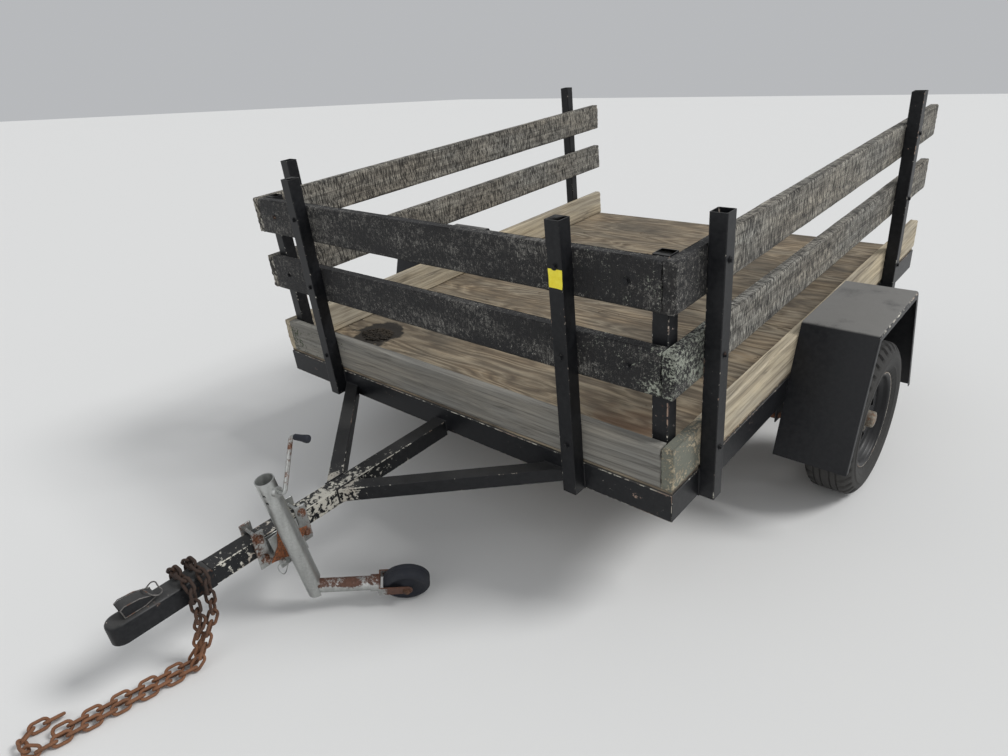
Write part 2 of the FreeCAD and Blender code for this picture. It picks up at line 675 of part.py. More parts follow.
def turned(label, profile, sides, lean=0.0):
    """A many-sided solid turned about local x, from (place along x, radius of its corners) pairs."""
    rings = []
    for x, radius in profile:
        angles = [math.radians(lean) + 2 * math.pi * step / sides for step in range(sides)]
        ring = [FreeCAD.Vector(x, -radius * math.sin(angle), -radius * math.cos(angle))
                for angle in angles]
        rings.append(ring if radius else None)
    faces = []
    for index, ring in enumerate(rings):
        following = rings[(index + 1) % len(rings)]
        if ring is None and following is None:
            continue
        if ring is None or following is None:
            rim = ring or following
            faces.append(Part.Face(Part.makePolygon(rim + rim[:1])))
            continue
        for step in range(sides):
            other = (step + 1) % sides
            edge = [ring[step], ring[other], following[other], following[step]]
            faces.append(Part.Face(Part.makePolygon(edge + edge[:1])))
    solid = Part.makeSolid(Part.makeShell(faces))
    if solid.Volume < 0:
        solid.reverse()
    feature = doc.addObject("Part::Feature", label)
    feature.Shape = solid.removeSplitter()
    return feature


def build_tyre(label):
    tread = value("tread_width") / 2
    widest = value("tyre_width") / 2
    outside = value("tyre_radius")
    half = [(tread, outside), ((tread + widest) / 2 + 3, outside - value("shoulder_drop")),
            (widest, outside - value("sidewall_drop")),
            (value("rim_width") / 2 - value("bead_gap"), value("lip_radius") + value("bead_gap"))]
    mirrored = [(-x, radius) for x, radius in reversed(half)]
    return turned(label, half + mirrored, round(value("wheel_sides")), value("parked_pitch"))


def build_rim(label):
    """Rim, dished disc, hub and dust cap in one turned section."""
    sides = round(value("wheel_sides"))
    bore = (value("spindle_radius") + value("running_gap")) / math.cos(math.pi / sides)
    bore_end = value("spindle_end") + value("spindle_play")
    edge = value("rim_width") / 2
    lip = value("lip_radius") - value("lip_height")
    joint = lip - value("lip_height")
    hub = value("hub_radius")
    offset = value("disc_offset")
    gauge = value("rim_gauge")
    cap = value("cap_reach")
    section = [
        (edge, value("lip_radius")), (edge, lip), (offset, joint), (offset - gauge, 2 * hub),
        (offset, hub), (cap, value("cap_radius")), (cap, 0), (bore_end, 0), (bore_end, bore),
        (-value("hub_back"), bore), (-value("hub_back"), hub), (offset - 2 * gauge, hub),
        (offset - 2 * gauge, joint), (-edge, lip), (-edge, value("lip_radius")),
    ]
    return turned(label, section, sides, value("parked_pitch"))


def build_wheels():
    for side, sign in (("right", 1), ("left", -1)):
        turn = "0" if sign > 0 else "180"
        for build, kind in ((build_tyre, "tyre"), (build_rim, "wheel")):
            label = f"{kind}_{side}"
            piece = build(label)
            seat(piece, f"{sign} * wheel_track / 2", "axle_y", "-axle_drop", angle=turn)
            node(piece, label)


# Swivel jack: clamp mount on the drawbar, outer tube, kinked leg with its fork, crank

def build_jack_mount():
    side = "drawbar_size / 2"
    plate_y = "(clamp_spacing + clamp_width)"
    pieces = [
        box("mount_plate", "plate_gauge", plate_y, "clamp_height * 0.8",
            side, f"-{plate_y} / 2", "-clamp_height * 0.4"),
        rod("mount_spigot", "spigot_radius", "swivel_reach - swivel_gap - plate_gauge",
            f"{side} + plate_gauge", "0", "0", **ALONG_X),
        rod("mount_pin", "pivot_pin", "swivel_reach + plate_gauge",
            f"{side} + plate_gauge", "0", "0", **ALONG_X),
    ]
    for end in (-1, 1):
        bar_y = f"({end} * clamp_spacing / 2)"
        for flank, x in ((1, f"{side} + plate_gauge"), (-1, f"-({side} + plate_gauge)")):
            pieces.append(box(f"clamp_bar_{end + 2}_{flank + 2}", "plate_gauge", "clamp_width",
                              "clamp_height", x, f"{bar_y} - clamp_width / 2",
                              "bar_middle - clamp_height / 2"))
        for level in (-1, 1):
            bolt_z = f"(bar_middle + {level} * (drawbar_size / 2 + clamp_bolt + 1))"
            name = f"clamp_bolt_{end + 2}_{level + 2}"
            pieces.append(hex_bar(name, "clamp_bolt", f"2 * ({side} + 2 * plate_gauge)",
                                  f"-({side} + 2 * plate_gauge)", bar_y, bolt_z))
            for flank, x in ((1, f"{side} + 2 * plate_gauge"),
                             (-1, f"-({side} + 2 * plate_gauge + clamp_head)")):
                pieces.append(hex_bar(f"{name}_{flank + 2}", "clamp_bolt * 1.9", "clamp_head",
                                      x, bar_y, bolt_z))
    mount = fuse("jack_mount_all", pieces)
    seat(mount, "0", "-jack_y", "-jack_z")
    node(mount, "jack_mount")


def in_jack(thing, along="0", turn="0"):
    """Place a piece in the jack's own frame: z up its tube, zero at its pivot."""
    thing.setExpression("Placement", on_sheet(
        "stance.Placement * placement(vector(jack_x; -jack_y; -jack_z);"
        " rotation(vector(1; 0; 0); jack_lean))"
        f" * placement(vector(0; 0; {along}); rotation(vector(0; 0; 1); {turn}))"))


def foot_frame():
    """Where the jockey wheel comes to rest, and the directions of its leg, axle and their normal."""
    lean = FreeCAD.Rotation(FreeCAD.Vector(1, 0, 0), value("jack_lean"))
    pivot = FreeCAD.Placement(
        FreeCAD.Vector(value("jack_x"), -value("jack_y"), -value("jack_z")), lean)
    kink = stance.Placement.multVec(
        pivot.multVec(FreeCAD.Vector(0, 0, value("kink_rise") - value("jack_fall"))))
    tilt = math.radians(value("foot_tilt"))
    height = value("jockey_radius")
    for _ in range(8):
        middle = FreeCAD.Vector(kink.x + value("foot_out_x"), kink.y + value("foot_out_y"), height)
        along = (middle - kink).normalize()
        level = along.cross(FreeCAD.Vector(0, 0, 1)).normalize()
        normal = level.cross(along)
        axle = level * math.cos(tilt) - normal * math.sin(tilt)
        dip = abs(axle.z)
        height = value("jockey_radius") * math.sqrt(1 - dip * dip) + value("jockey_tread") / 2 * dip
    return kink, middle, along, axle


def foot_placement():
    _, middle, along, axle = foot_frame()
    turn = FreeCAD.Rotation(along, axle, FreeCAD.Vector(), "XYZ")
    return FreeCAD.Placement(middle, turn)


def build_jack():
    whole = "(jack_rise + jack_fall)"
    barrel = rod("jack_barrel", "jack_radius", whole, "0", "0", "-jack_fall")
    flange_x = "(jack_x - swivel_face)"
    plate = box("swivel_plate", "plate_gauge", "swivel_plate_y", "swivel_plate_z",
                f"-{flange_x}", "-swivel_plate_y / 2", "-swivel_plate_z / 2")
    spacer_in = "(jack_radius - jack_wall / 2)"
    spacer = box("swivel_spacer", f"{flange_x} - plate_gauge - {spacer_in} / 2",
                 "jack_radius * 1.2", "swivel_plate_z * 0.8",
                 f"-{flange_x} + plate_gauge", "-jack_radius * 0.6", "-swivel_plate_z * 0.4")
    boss = rod("crank_boss", "crank_boss", "jack_radius + 9", "0", "0", "crank_rise",
               axis="0; 1; 0", angle="90")
    boss.setExpression("Placement", on_sheet(
        "placement(vector(0; 0; crank_rise); rotation(vector(0; 0; 1); crank_turn))"
        " * placement(vector(0; 0; 0); rotation(vector(0; 1; 0); 90))"))
    solid = fuse("jack_solid", [barrel, plate, spacer, boss])
    bore = rod("jack_bore", "jack_radius - jack_wall", f"{whole} + 2", "0", "0", "-jack_fall - 1")
    pin_hole = rod("swivel_pin_hole", "pivot_pin + running_gap", f"{flange_x} - jack_radius + 8",
                   f"-{flange_x} - 1", "0", "0", **ALONG_X)
    _, _, along, _ = foot_frame()
    tilt = stance.Placement.Rotation.multiply(
        FreeCAD.Rotation(FreeCAD.Vector(1, 0, 0), value("jack_lean")))
    local = tilt.inverted().multVec(along)
    bearing = math.degrees(math.atan2(local.y, local.x))
    tear = doc.addObject("Part::Box", "tube_tear")
    tear.setExpression("Length", on_sheet("2 * jack_radius"))
    tear.setExpression("Width", on_sheet("2 * leg_radius + 2"))
    tear.setExpression("Height", on_sheet("2 * kink_rise + leg_radius / 2"))
    tear.setExpression("Placement", on_sheet(
        f"placement(vector(0; 0; -jack_fall - 1); rotation(vector(0; 0; 1); {bearing:.3f}))"
        " * placement(vector(0; -(leg_radius + 1); 0); rotation(vector(0; 0; 1); 0))"))
    tube = cut("jack_tube_cut", solid, fuse("jack_hollows", [bore, pin_hole, tear]))
    in_jack(tube)
    node(tube, "jack_outer_tube")
    build_leg()
    build_crank()
    build_jockey()


def build_leg():
    kink, middle, along, axle = foot_frame()
    reach = (middle - kink).Length
    up = stance.Placement.Rotation.multVec(
        FreeCAD.Rotation(FreeCAD.Vector(1, 0, 0), value("jack_lean")).multVec(
            FreeCAD.Vector(0, 0, 1)))
    radius = value("leg_radius")
    wall = value("leg_wall")
    crown_x = value("jockey_radius") + value("fork_crown_gap")
    gauge = value("fork_gauge")
    fork_y = value("jockey_width") / 2 + value("jockey_side_gap")
    leg_end = reach - crown_x - gauge
    upper = Part.makeCylinder(radius, value("leg_inside"), kink, up)
    lower = Part.makeCylinder(radius, leg_end, kink, along)
    knee = Part.makeSphere(radius, kink)
    # The tube is open at its upper end and hollow down to the kink
    bore = Part.makeCylinder(radius - wall, value("leg_inside"), kink + up * radius, up)
    collar_start = kink + along * (leg_end - value("collar_length"))
    collar = Part.makeCylinder(radius + 4, value("collar_length"), collar_start, along)
    guide_start = kink + up * (value("leg_inside") - value("guide_length"))
    guide_radius = value("jack_radius") - value("jack_wall") - value("slide_gap")
    guide = Part.makeCylinder(guide_radius, value("guide_length"), guide_start, up)
    leg = upper.fuse([lower, knee, collar, guide]).cut(bore)

    height = value("fork_height")
    plates = []
    crown = Part.makeBox(gauge, 2 * (fork_y + gauge), height,
                         FreeCAD.Vector(-crown_x - gauge, -(fork_y + gauge), -height / 2))
    plates.append(crown)
    for low in (-(fork_y + gauge), fork_y):
        arm = Part.makeBox(crown_x + gauge, gauge, height,
                           FreeCAD.Vector(-crown_x - gauge, low, -height / 2))
        end = Part.makeCylinder(height / 2, gauge, FreeCAD.Vector(0, low, 0),
                                FreeCAD.Vector(0, 1, 0))
        plates.append(arm)
        plates.append(end)
    bolt_half = fork_y + gauge + 6
    plates.append(Part.makeCylinder(value("jockey_axle"), 2 * bolt_half,
                                    FreeCAD.Vector(0, -bolt_half, 0), FreeCAD.Vector(0, 1, 0)))
    fork = plates[0].fuse(plates[1:])
    fork.Placement = foot_placement()
    shape = leg.fuse(fork).removeSplitter()
    feature = doc.addObject("Part::Feature", "jack_leg")
    feature.Shape = shape
    node(feature, "jack_leg")


def build_crank():
    shaft_start = "jack_radius + 9"
    arm_radius = "crank_rod * 1.15"
    end_y = "(crank_arm * sin(crank_swing))"
    end_z = "(crank_arm * cos(crank_swing))"
    pieces = [
        rod("crank_shaft", "crank_rod", f"crank_offset - ({shaft_start})", shaft_start, "0", "0",
            **ALONG_X),
        rod("crank_arm_rod", arm_radius, f"crank_arm + 2 * {arm_radius}", "crank_offset",
            f"-{arm_radius} * sin(crank_swing)", f"-{arm_radius} * cos(crank_swing)",
            axis="1; 0; 0", angle="-crank_swing"),
        rod("crank_neck", "crank_rod", "grip_length * 0.3", "crank_offset", end_y, end_z,
            **ALONG_X),
        rod("crank_grip", "grip_radius", "grip_length * 0.8", "crank_offset + grip_length * 0.2",
            end_y, end_z, **ALONG_X),
    ]
    crank = fuse("jack_crank_all", pieces)
    in_jack(crank, along="crank_rise", turn="crank_turn")
    node(crank, "jack_crank")


def build_jockey():
    sides = round(value("wheel_sides"))
    side = value("jockey_width") / 2
    radius = value("jockey_radius")
    bore = (value("jockey_axle") + value("running_gap")) / math.cos(math.pi / sides)
    half = [(value("jockey_tread") / 2, radius), (side, radius - value("jockey_shoulder")),
            (side * 0.6, radius / 2), (side + 3, bore + 9), (side + 3, bore)]
    mirrored = [(-x, corner) for x, corner in reversed(half)]
    wheel = turned("jockey_wheel", half + mirrored, sides)
    # Its own x is its axle, which is the foot frame's y
    quarter = FreeCAD.Placement(FreeCAD.Vector(), FreeCAD.Rotation(FreeCAD.Vector(0, 0, 1), 90))
    wheel.Placement = foot_placement().multiply(quarter)
    node(wheel, "jockey_wheel")


# Safety chains: welded links hung over the coupler, their long ends on the ground beside it

def link_shape():
    """A long link of four-sided wire whose ridges point in, out, up and down."""
    ridge = value("link_wire") / 2
    end = value("link_pitch") / 2 + ridge
    side = value("link_width") / 2 - ridge
    corner = side * 0.36
    route = [(end, -side + corner), (end, side - corner), (end - corner, side),
             (corner - end, side), (-end, side - corner), (-end, corner - side),
             (corner - end, -side), (end - corner, -side)]
    rings = []
    for index, (x, y) in enumerate(route):
        here = FreeCAD.Vector(x, y, 0)
        before = (here - FreeCAD.Vector(*route[index - 1], 0)).normalize()
        after = (FreeCAD.Vector(*route[(index + 1) % len(route)], 0) - here).normalize()
        bisector = FreeCAD.Vector(before.y + after.y, -before.x - after.x, 0).normalize()
        reach = ridge / bisector.dot(FreeCAD.Vector(after.y, -after.x, 0))
        rings.append([here + bisector * reach, here + FreeCAD.Vector(0, 0, ridge),
                      here - bisector * reach, here - FreeCAD.Vector(0, 0, ridge)])
    faces = []
    for index, ring in enumerate(rings):
        following = rings[(index + 1) % len(rings)]
        for corner_index in range(4):
            other = (corner_index + 1) % 4
            edge = [ring[corner_index], following[corner_index], following[other], ring[other]]
            faces.append(Part.Face(Part.makePolygon(edge + edge[:1])))
    solid = Part.makeSolid(Part.makeShell(faces))
    if solid.Volume < 0:
        solid.reverse()
    return solid


def rolled_half():
    """Half the height of a link that is rolled by an eighth of a turn."""
    return value("link_width") / 2 * math.sqrt(0.5)


def rest_height():
    return rolled_half() + value("ground_play")


def wrap_joints(along, plumb):
    """Where the links meet from the short end, over the coupler, to the plumb part beside it."""
    step = value("link_pitch") - value("link_play")
    slope = step * math.sqrt(0.5)
    half = value("drawbar_size") / 2 + value("coupler_wall")
    clear = rolled_half() + value("link_play")
    rise = clear * math.sqrt(2) + half - step
    y = along - value("chain_y")
    roof = value("coupler_wall") - value("drawbar_drop") + rise
    over = [(-step - slope, -slope), (-step, 0), (0, 0), (step, 0), (step + slope, -slope)]
    joints = [stance.Placement.multVec(FreeCAD.Vector(x, y, roof + z)) for x, z in over]
    down = FreeCAD.Vector(0, 0, -step)
    for _ in range(round(value("short_links"))):
        joints.insert(0, joints[0] + down)
    for _ in range(plumb):
        joints.append(joints[-1] + down)
    return joints


def long_chain_joints(along):
    """All joints of the chain that reaches the ground, and its first link that lies there."""
    step = value("link_pitch") - value("link_play")
    slope = step * math.sqrt(0.5)
    joints = wrap_joints(along, round(value("plumb_links")))
    top = joints[-1]
    foot_height = rest_height() + slope
    drop = top.z - foot_height
    # Enough links to reach the ground with some lean
    hanging = math.ceil(drop / step + 0.08)
    lean = math.sqrt((hanging * step) ** 2 - drop ** 2)
    bearing = math.radians(-90 - value("chain_drift"))
    heading = FreeCAD.Vector(math.cos(bearing), math.sin(bearing), 0)
    foot = top + heading * lean - FreeCAD.Vector(0, 0, drop)
    joints += [top + (foot - top) * (index / hanging) for index in range(1, hanging + 1)]
    landing = len(joints)
    joints.append(foot + heading * slope - FreeCAD.Vector(0, 0, slope))
    # Forward, round in four bends of an eighth of a turn, and back
    turns = [0] * round(value("ground_links")) + [1, 2, 3] + [4] * round(value("return_links"))
    for turn in turns:
        way = bearing - turn * math.pi / 4
        joints.append(joints[-1] + FreeCAD.Vector(math.cos(way), math.sin(way), 0) * step)
    return joints, landing


def chain_sides(joints, wrapped, landing):
    """A direction square to each link: the trailer's length at the top, upright on the ground."""
    lengthwise = stance.Placement.Rotation.multVec(FreeCAD.Vector(0, 1, 0))
    axes = [(there - here).normalize() for here, there in zip(joints, joints[1:])]
    sides = []
    for index, axis in enumerate(axes):
        side = lengthwise if index < wrapped else sides[-1]
        sides.append((side - axis * side.dot(axis)).normalize())
    if landing is None:
        return axes, sides
    upright = FreeCAD.Vector(0, 0, -1)
    axis = axes[landing]
    error = math.atan2(sides[landing].cross(upright).dot(axis), sides[landing].dot(upright))
    for index in range(wrapped, len(axes)):
        share = min((index - wrapped) / (landing - wrapped), 1)
        twist = FreeCAD.Rotation(axes[index], math.degrees(error * share))
        sides[index] = twist.multVec(sides[index])
    return axes, sides


def build_chain(joints, wrapped, landing=None):
    axes, sides = chain_sides(joints, wrapped, landing)
    links = []
    for index, (axis, side) in enumerate(zip(axes, sides)):
        link = link_shape()
        turn = FreeCAD.Rotation(axis, side, FreeCAD.Vector(), "XYZ")
        roll = FreeCAD.Rotation(FreeCAD.Vector(1, 0, 0), 45 if index % 2 else -45)
        middle = (joints[index] + joints[index + 1]) * 0.5
        link.Placement = FreeCAD.Placement(middle, turn.multiply(roll))
        links.append(link)
    return Part.makeCompound(links)


def build_chains():
    """The chains' ends are the trailer's foremost point, so they also set where its origin is."""
    sheet.set(CELLS["foremost"], "=rearmost")
    doc.recompute()
    half = value("chain_apart") / 2
    around = round(value("short_links")) + 4
    joints, landing = long_chain_joints(half)
    shapes = {
        "chain_rear": build_chain(joints, around + round(value("plumb_links")), landing),
        "chain_front": build_chain(wrap_joints(-half, round(value("front_links"))),
                                   around + round(value("front_links"))),
    }
    foremost = -min(shape.BoundBox.YMin for shape in shapes.values())
    for label, shape in shapes.items():
        feature = doc.addObject("Part::Feature", label)
        feature.Shape = shape
        feature.setExpression("Placement", on_sheet(
            "placement(vector(0; stance_back; 0); rotation(vector(0; 0; 1); 0))"))
        node(feature, label)
    sheet.set(CELLS["foremost"], str(foremost))
    doc.recompute()


def check_and_export():
    doc.recompute()
    for thing in doc.Objects:
        if "Invalid" in thing.State or "Error" in thing.State:
            raise RuntimeError(f"{thing.Name} failed: {thing.State}")
    os.makedirs("parts", exist_ok=True)
    for piece in NODES:
        shape = piece.Shape
        if shape.isNull() or not shape.isValid():
            raise RuntimeError(f"{piece.Label} has no valid shape")
        shape.exportStep(f"parts/{piece.Label}.step")
    print(len(NODES), "nodes written")


def main():
    build_chains()
    build_deck_frame()
    build_deck()
    build_boards()
    build_posts()
    build_drawbar()
    build_braces()
    build_coupler()
    build_fender("fender_right", 1)
    build_fender("fender_left", -1)
    build_springs()
    build_hangers()
    build_axle()
    build_wheels()
    build_jack_mount()
    build_jack()
    check_and_export()


main()
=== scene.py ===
import math

import bmesh
import bpy
from mathutils import Matrix, Vector, noise
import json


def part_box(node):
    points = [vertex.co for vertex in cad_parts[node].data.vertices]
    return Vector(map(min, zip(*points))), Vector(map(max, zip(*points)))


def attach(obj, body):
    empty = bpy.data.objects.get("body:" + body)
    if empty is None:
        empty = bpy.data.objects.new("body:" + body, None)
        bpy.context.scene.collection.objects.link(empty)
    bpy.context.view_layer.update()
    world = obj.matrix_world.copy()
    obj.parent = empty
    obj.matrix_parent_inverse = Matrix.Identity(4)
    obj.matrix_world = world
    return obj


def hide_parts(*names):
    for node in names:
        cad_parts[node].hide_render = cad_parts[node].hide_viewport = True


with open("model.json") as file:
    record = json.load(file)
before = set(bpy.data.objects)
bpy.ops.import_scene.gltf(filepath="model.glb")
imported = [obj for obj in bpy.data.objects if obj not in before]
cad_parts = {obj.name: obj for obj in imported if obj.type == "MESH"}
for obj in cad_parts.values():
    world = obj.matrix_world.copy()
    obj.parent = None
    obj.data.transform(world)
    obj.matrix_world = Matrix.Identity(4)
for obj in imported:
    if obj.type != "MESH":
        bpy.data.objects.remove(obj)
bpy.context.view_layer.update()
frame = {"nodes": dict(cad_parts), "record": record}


# The studio: a pale floor, soft lamps and a camera ahead of the trailer's right front corner.
# Sizes below are metres in the trailer's own frame: x to its right, y rearwards from the front
# rail's face, z square to the deck. STANCE leans that frame nose-down on the jack, as it parks.
PITCH = math.radians(6.3)
RAIL_LENGTH, RAIL_DEPTH = 2.44, 0.095
rear_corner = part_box("frame_rear_rail")[1]
front_edge = (0, rear_corner.y - RAIL_LENGTH * math.cos(PITCH) - RAIL_DEPTH * math.sin(PITCH),
              rear_corner.z - RAIL_LENGTH * math.sin(PITCH))
STANCE = Matrix.Translation(front_edge) @ Matrix.Rotation(PITCH, 4, "X")


def set_up(name, data):
    """A new object in the scene."""
    thing = bpy.data.objects.new(name, data)
    bpy.context.scene.collection.objects.link(thing)
    return thing


def mesh_of(name, corners, edges=(), faces=()):
    mesh = bpy.data.meshes.new(name)
    mesh.from_pydata(list(corners), list(edges), list(faces))
    return mesh


camera = bpy.data.cameras.new("camera")
camera.sensor_width = 36
camera.lens = 24.754
camera_object = set_up("camera", camera)
bpy.context.scene.camera = camera_object
aim = Matrix(((0.7478, -0.2412, 0.6186), (0.6565, 0.4074, -0.6349), (-0.0989, 0.8809, 0.463)))
camera_object.matrix_world = STANCE @ Matrix.Translation((1.753, -1.4329, 1.2629)) @ aim.to_4x4()

floor_mesh = mesh_of("floor", [(-60, -60, 0), (60, -60, 0), (60, 60, 0), (-60, 60, 0)],
                     faces=[(0, 1, 2, 3)])
floor_paint = bpy.data.materials.new("pale_floor")
floor_paint.use_nodes = True
floor_shader = floor_paint.node_tree.nodes["Principled BSDF"]
floor_shader.inputs["Base Color"].default_value = (0.70, 0.70, 0.69, 1)
floor_shader.inputs["Roughness"].default_value = 0.9
floor_mesh.materials.append(floor_paint)
set_up("floor", floor_mesh)

world = bpy.data.worlds.new("studio")
bpy.context.scene.world = world
world.use_nodes = True
sky = world.node_tree.nodes["Background"]
sky.inputs["Color"].default_value = (0.95, 0.97, 1.0, 1)
sky.inputs["Strength"].default_value = 0.50
bpy.context.scene.view_settings.view_transform = "Standard"
for name, place, spread, strength in (
        ("key", (3.2, 2.4, 4.2), 20, 2.0),
        ("fill", (1.2, -4.6, 2.2), 60, 0.60)):
    lamp = bpy.data.lights.new(name, "SUN")
    lamp.angle = math.radians(spread)
    lamp.energy = strength
    lamp_object = set_up(name, lamp)
    lamp_object.location = place
    lamp_object.rotation_euler = (-Vector(place)).to_track_quat("-Z", "Y").to_euler()


# Side boards: nine rough softwood planks on edge, three to a side, bolted to the stakes. All were
# painted black. The front ones keep most of the paint, cracked across the grain and spotted with
# lichen; on the side ones it has worn off to grey wood; the three low ones are bare.
class Wiring:
    """Adds nodes to a node tree and joins them by the names of their sockets."""

    def __init__(self, tree):
        self.tree = tree
        self.count = 0

    def add(self, kind, values=None, **settings):
        node = self.tree.nodes.new(kind)
        self.count += 1
        node.location = (220 * (self.count % 12), -260 * (self.count // 12))
        for key, value in settings.items():
            setattr(node, key, value)
        for key, value in (values or {}).items():
            if isinstance(value, bpy.types.NodeSocket):
                self.tree.links.new(value, node.inputs[key])
            else:
                node.inputs[key].default_value = value
        return node

    def math(self, operation, first, second):
        return self.add("ShaderNodeMath", {0: first, 1: second}, operation=operation).outputs[0]

    def both(self, first, *others):
        for other in others:
            first = self.math("MULTIPLY", first, other)
        return first

    def blend(self, *parts):
        """The sum of values, each alone or with its weight."""
        total = None
        for part in parts:
            part = self.both(*part) if isinstance(part, tuple) else part
            total = part if total is None else self.math("ADD", total, part)
        return total

    def mix(self, share, first, second):
        return self.add("ShaderNodeMix", {0: share, 6: first, 7: second},
                        data_type="RGBA").outputs[2]

    def ramp(self, value, low, high, to_low=0.0, to_high=1.0):
        return self.add("ShaderNodeMapRange", {"Value": value, "From Min": low, "From Max": high,
                                               "To Min": to_low, "To Max": to_high}).outputs[0]

    def speckle(self, place, scale, detail=4.0, rough=0.6):
        return self.add("ShaderNodeTexNoise", {"Vector": place, "Scale": scale, "Detail": detail,
                                               "Roughness": rough}).outputs[0]

    def stretch(self, place, scale):
        return self.add("ShaderNodeMapping", {"Vector": place, "Scale": scale}).outputs[0]

    def grain(self, place, scale, detail=4.0, rough=0.6):
        return self.speckle(self.stretch(place, scale), 1.0, detail, rough)

    def cells(self, place, scale):
        return self.add("ShaderNodeTexVoronoi", {"Vector": self.stretch(place, scale),
                                                 "Scale": 1.0},
                        feature="DISTANCE_TO_EDGE").outputs[0]

    def away(self, place, spot):
        return self.add("ShaderNodeVectorMath", {0: place, 1: spot},
                        operation="DISTANCE").outputs["Value"]

    def seeded(self, given):
        """The place, moved on by the seed so that no two pieces share a pattern."""
        moved = self.add("ShaderNodeCombineXYZ", {axis: given["Seed"] for axis in "XYZ"})
        return self.add("ShaderNodeVectorMath", {0: given["Place"], 1: moved.outputs[0]}).outputs[0]

    def upward(self):
        normal = self.add("ShaderNodeNewGeometry").outputs["Normal"]
        return self.add("ShaderNodeSeparateXYZ", {0: normal}).outputs["Z"]

    def group(self, tree, place, values):
        return self.add("ShaderNodeGroup", {"Place": place, **values}, node_tree=tree).outputs

    def finish(self, outputs, depth, strength=1.0):
        """Joins colour, roughness, metal and height to the material's shader."""
        shader = self.tree.nodes["Principled BSDF"]
        for output, target in (("Color", "Base Color"), ("Roughness", "Roughness"),
                               ("Metallic", "Metallic")):
            if output in outputs:
                self.tree.links.new(outputs[output], shader.inputs[target])
        bump = self.add("ShaderNodeBump", {"Height": outputs["Height"], "Strength": strength,
                                           "Distance": depth})
        self.tree.links.new(bump.outputs[0], shader.inputs["Normal"])


def socket_kind(value):
    """The kind of a socket: named itself, or that of its first value."""
    if isinstance(value, str):
        return "NodeSocket" + value
    if isinstance(value, tuple):
        return "NodeSocketColor" if len(value) == 4 else "NodeSocketVector"
    return "NodeSocketInt" if isinstance(value, int) else "NodeSocketFloat"


def node_group(kind, name, inputs, outputs):
    """An empty node group with named sockets, and the wiring to fill it."""
    tree = bpy.data.node_groups.new(name, kind)
    for label, value in inputs.items():
        socket = tree.interface.new_socket(label, in_out="INPUT", socket_type=socket_kind(value))
        if not isinstance(value, str):
            socket.default_value = value
    for label, value in outputs.items():
        tree.interface.new_socket(label, in_out="OUTPUT", socket_type=socket_kind(value))
    wiring = Wiring(tree)
    return tree, wiring, wiring.add("NodeGroupInput").outputs


def effect(name, inputs, measures=("Roughness", "Height")):
    """An empty shader group that puts out a colour and some measures."""
    return node_group("ShaderNodeTree", name, {"Place": "Vector", **inputs},
                      {"Color": "Color", **{measure: "Float" for measure in measures}})


def surface(name):
    """A new material, its wiring and the object's own coordinates."""
    finish = bpy.data.materials.new(name)
    finish.use_nodes = True
    wiring = Wiring(finish.node_tree)
    return finish, wiring, wiring.add("ShaderNodeTexCoord").outputs["Object"]


# Old wood: its grain runs along the x of Place. Cover is the share of black paint still on it.
old_wood, w, given = effect("old_wood", {
    "Pale": (0.3, 0.28, 0.25, 1), "Tan": (0.44, 0.38, 0.3, 1), "Dark": (0.1, 0.085, 0.07, 1),
    "Paint": (0.007, 0.007, 0.008, 1), "Cover": 0.5, "Crackle": 1.0, "Checks": 1.0,
    "Lichen": 0.2, "Crust": (0.44, 0.48, 0.38, 1), "Seed": 0.0})
place = w.seeded(given)
bend = w.add("ShaderNodeTexNoise", {"Vector": w.stretch(place, (1.5, 6, 6)), "Scale": 1.0,
                                    "Detail": 2.0}).outputs["Color"]
bent = w.add("ShaderNodeVectorMath", {0: bend, "Scale": 0.035}, operation="SCALE").outputs[0]
grained = w.add("ShaderNodeVectorMath", {0: place, 1: bent}).outputs[0]
fibres = w.grain(grained, (6, 330, 330), 4.0, 0.7)
streaks = w.grain(grained, (1.8, 70, 70))
bare = w.mix(w.ramp(w.grain(place, (2.2, 8, 8)), 0.38, 0.64), given["Pale"], given["Tan"])
bare = w.mix(w.ramp(streaks, 0.40, 0.72, 0.0, 0.8), bare, given["Dark"])
bare = w.mix(w.ramp(fibres, 0.52, 0.74, 0.0, 0.85), bare, given["Dark"])
checks = w.both(w.ramp(w.cells(grained, (1.3, 38, 38)), 0.0, 0.045, 1.0, 0.0),
                w.ramp(streaks, 0.42, 0.56), given["Checks"])
bare = w.mix(checks, bare, (0.012, 0.01, 0.009, 1))
# Where the paint has cracked away, short dark splits stand close beside each other
rows = w.grain(grained, (230, 26, 26), 5.0, 0.7)
bare = w.mix(w.both(w.ramp(rows, 0.50, 0.585, 0.0, 0.9), given["Crackle"]), bare,
             (0.035, 0.031, 0.027, 1))
# Paint lifts first along the fibres, in short flakes across the board
flakes = w.grain(place, (420, 70, 70), 4.0, 0.7)
fine = w.speckle(place, 340.0, 3.0, 0.7)
hold = w.blend((flakes, 0.40), (fine, 0.36), (w.speckle(place, 4.0, 5.0, 0.6), 0.24),
               w.ramp(given["Cover"], 0.0, 1.0, -0.22, 0.22))
painted = w.both(w.ramp(hold, 0.475, 0.525), w.ramp(given["Cover"], 0.0, 0.04))
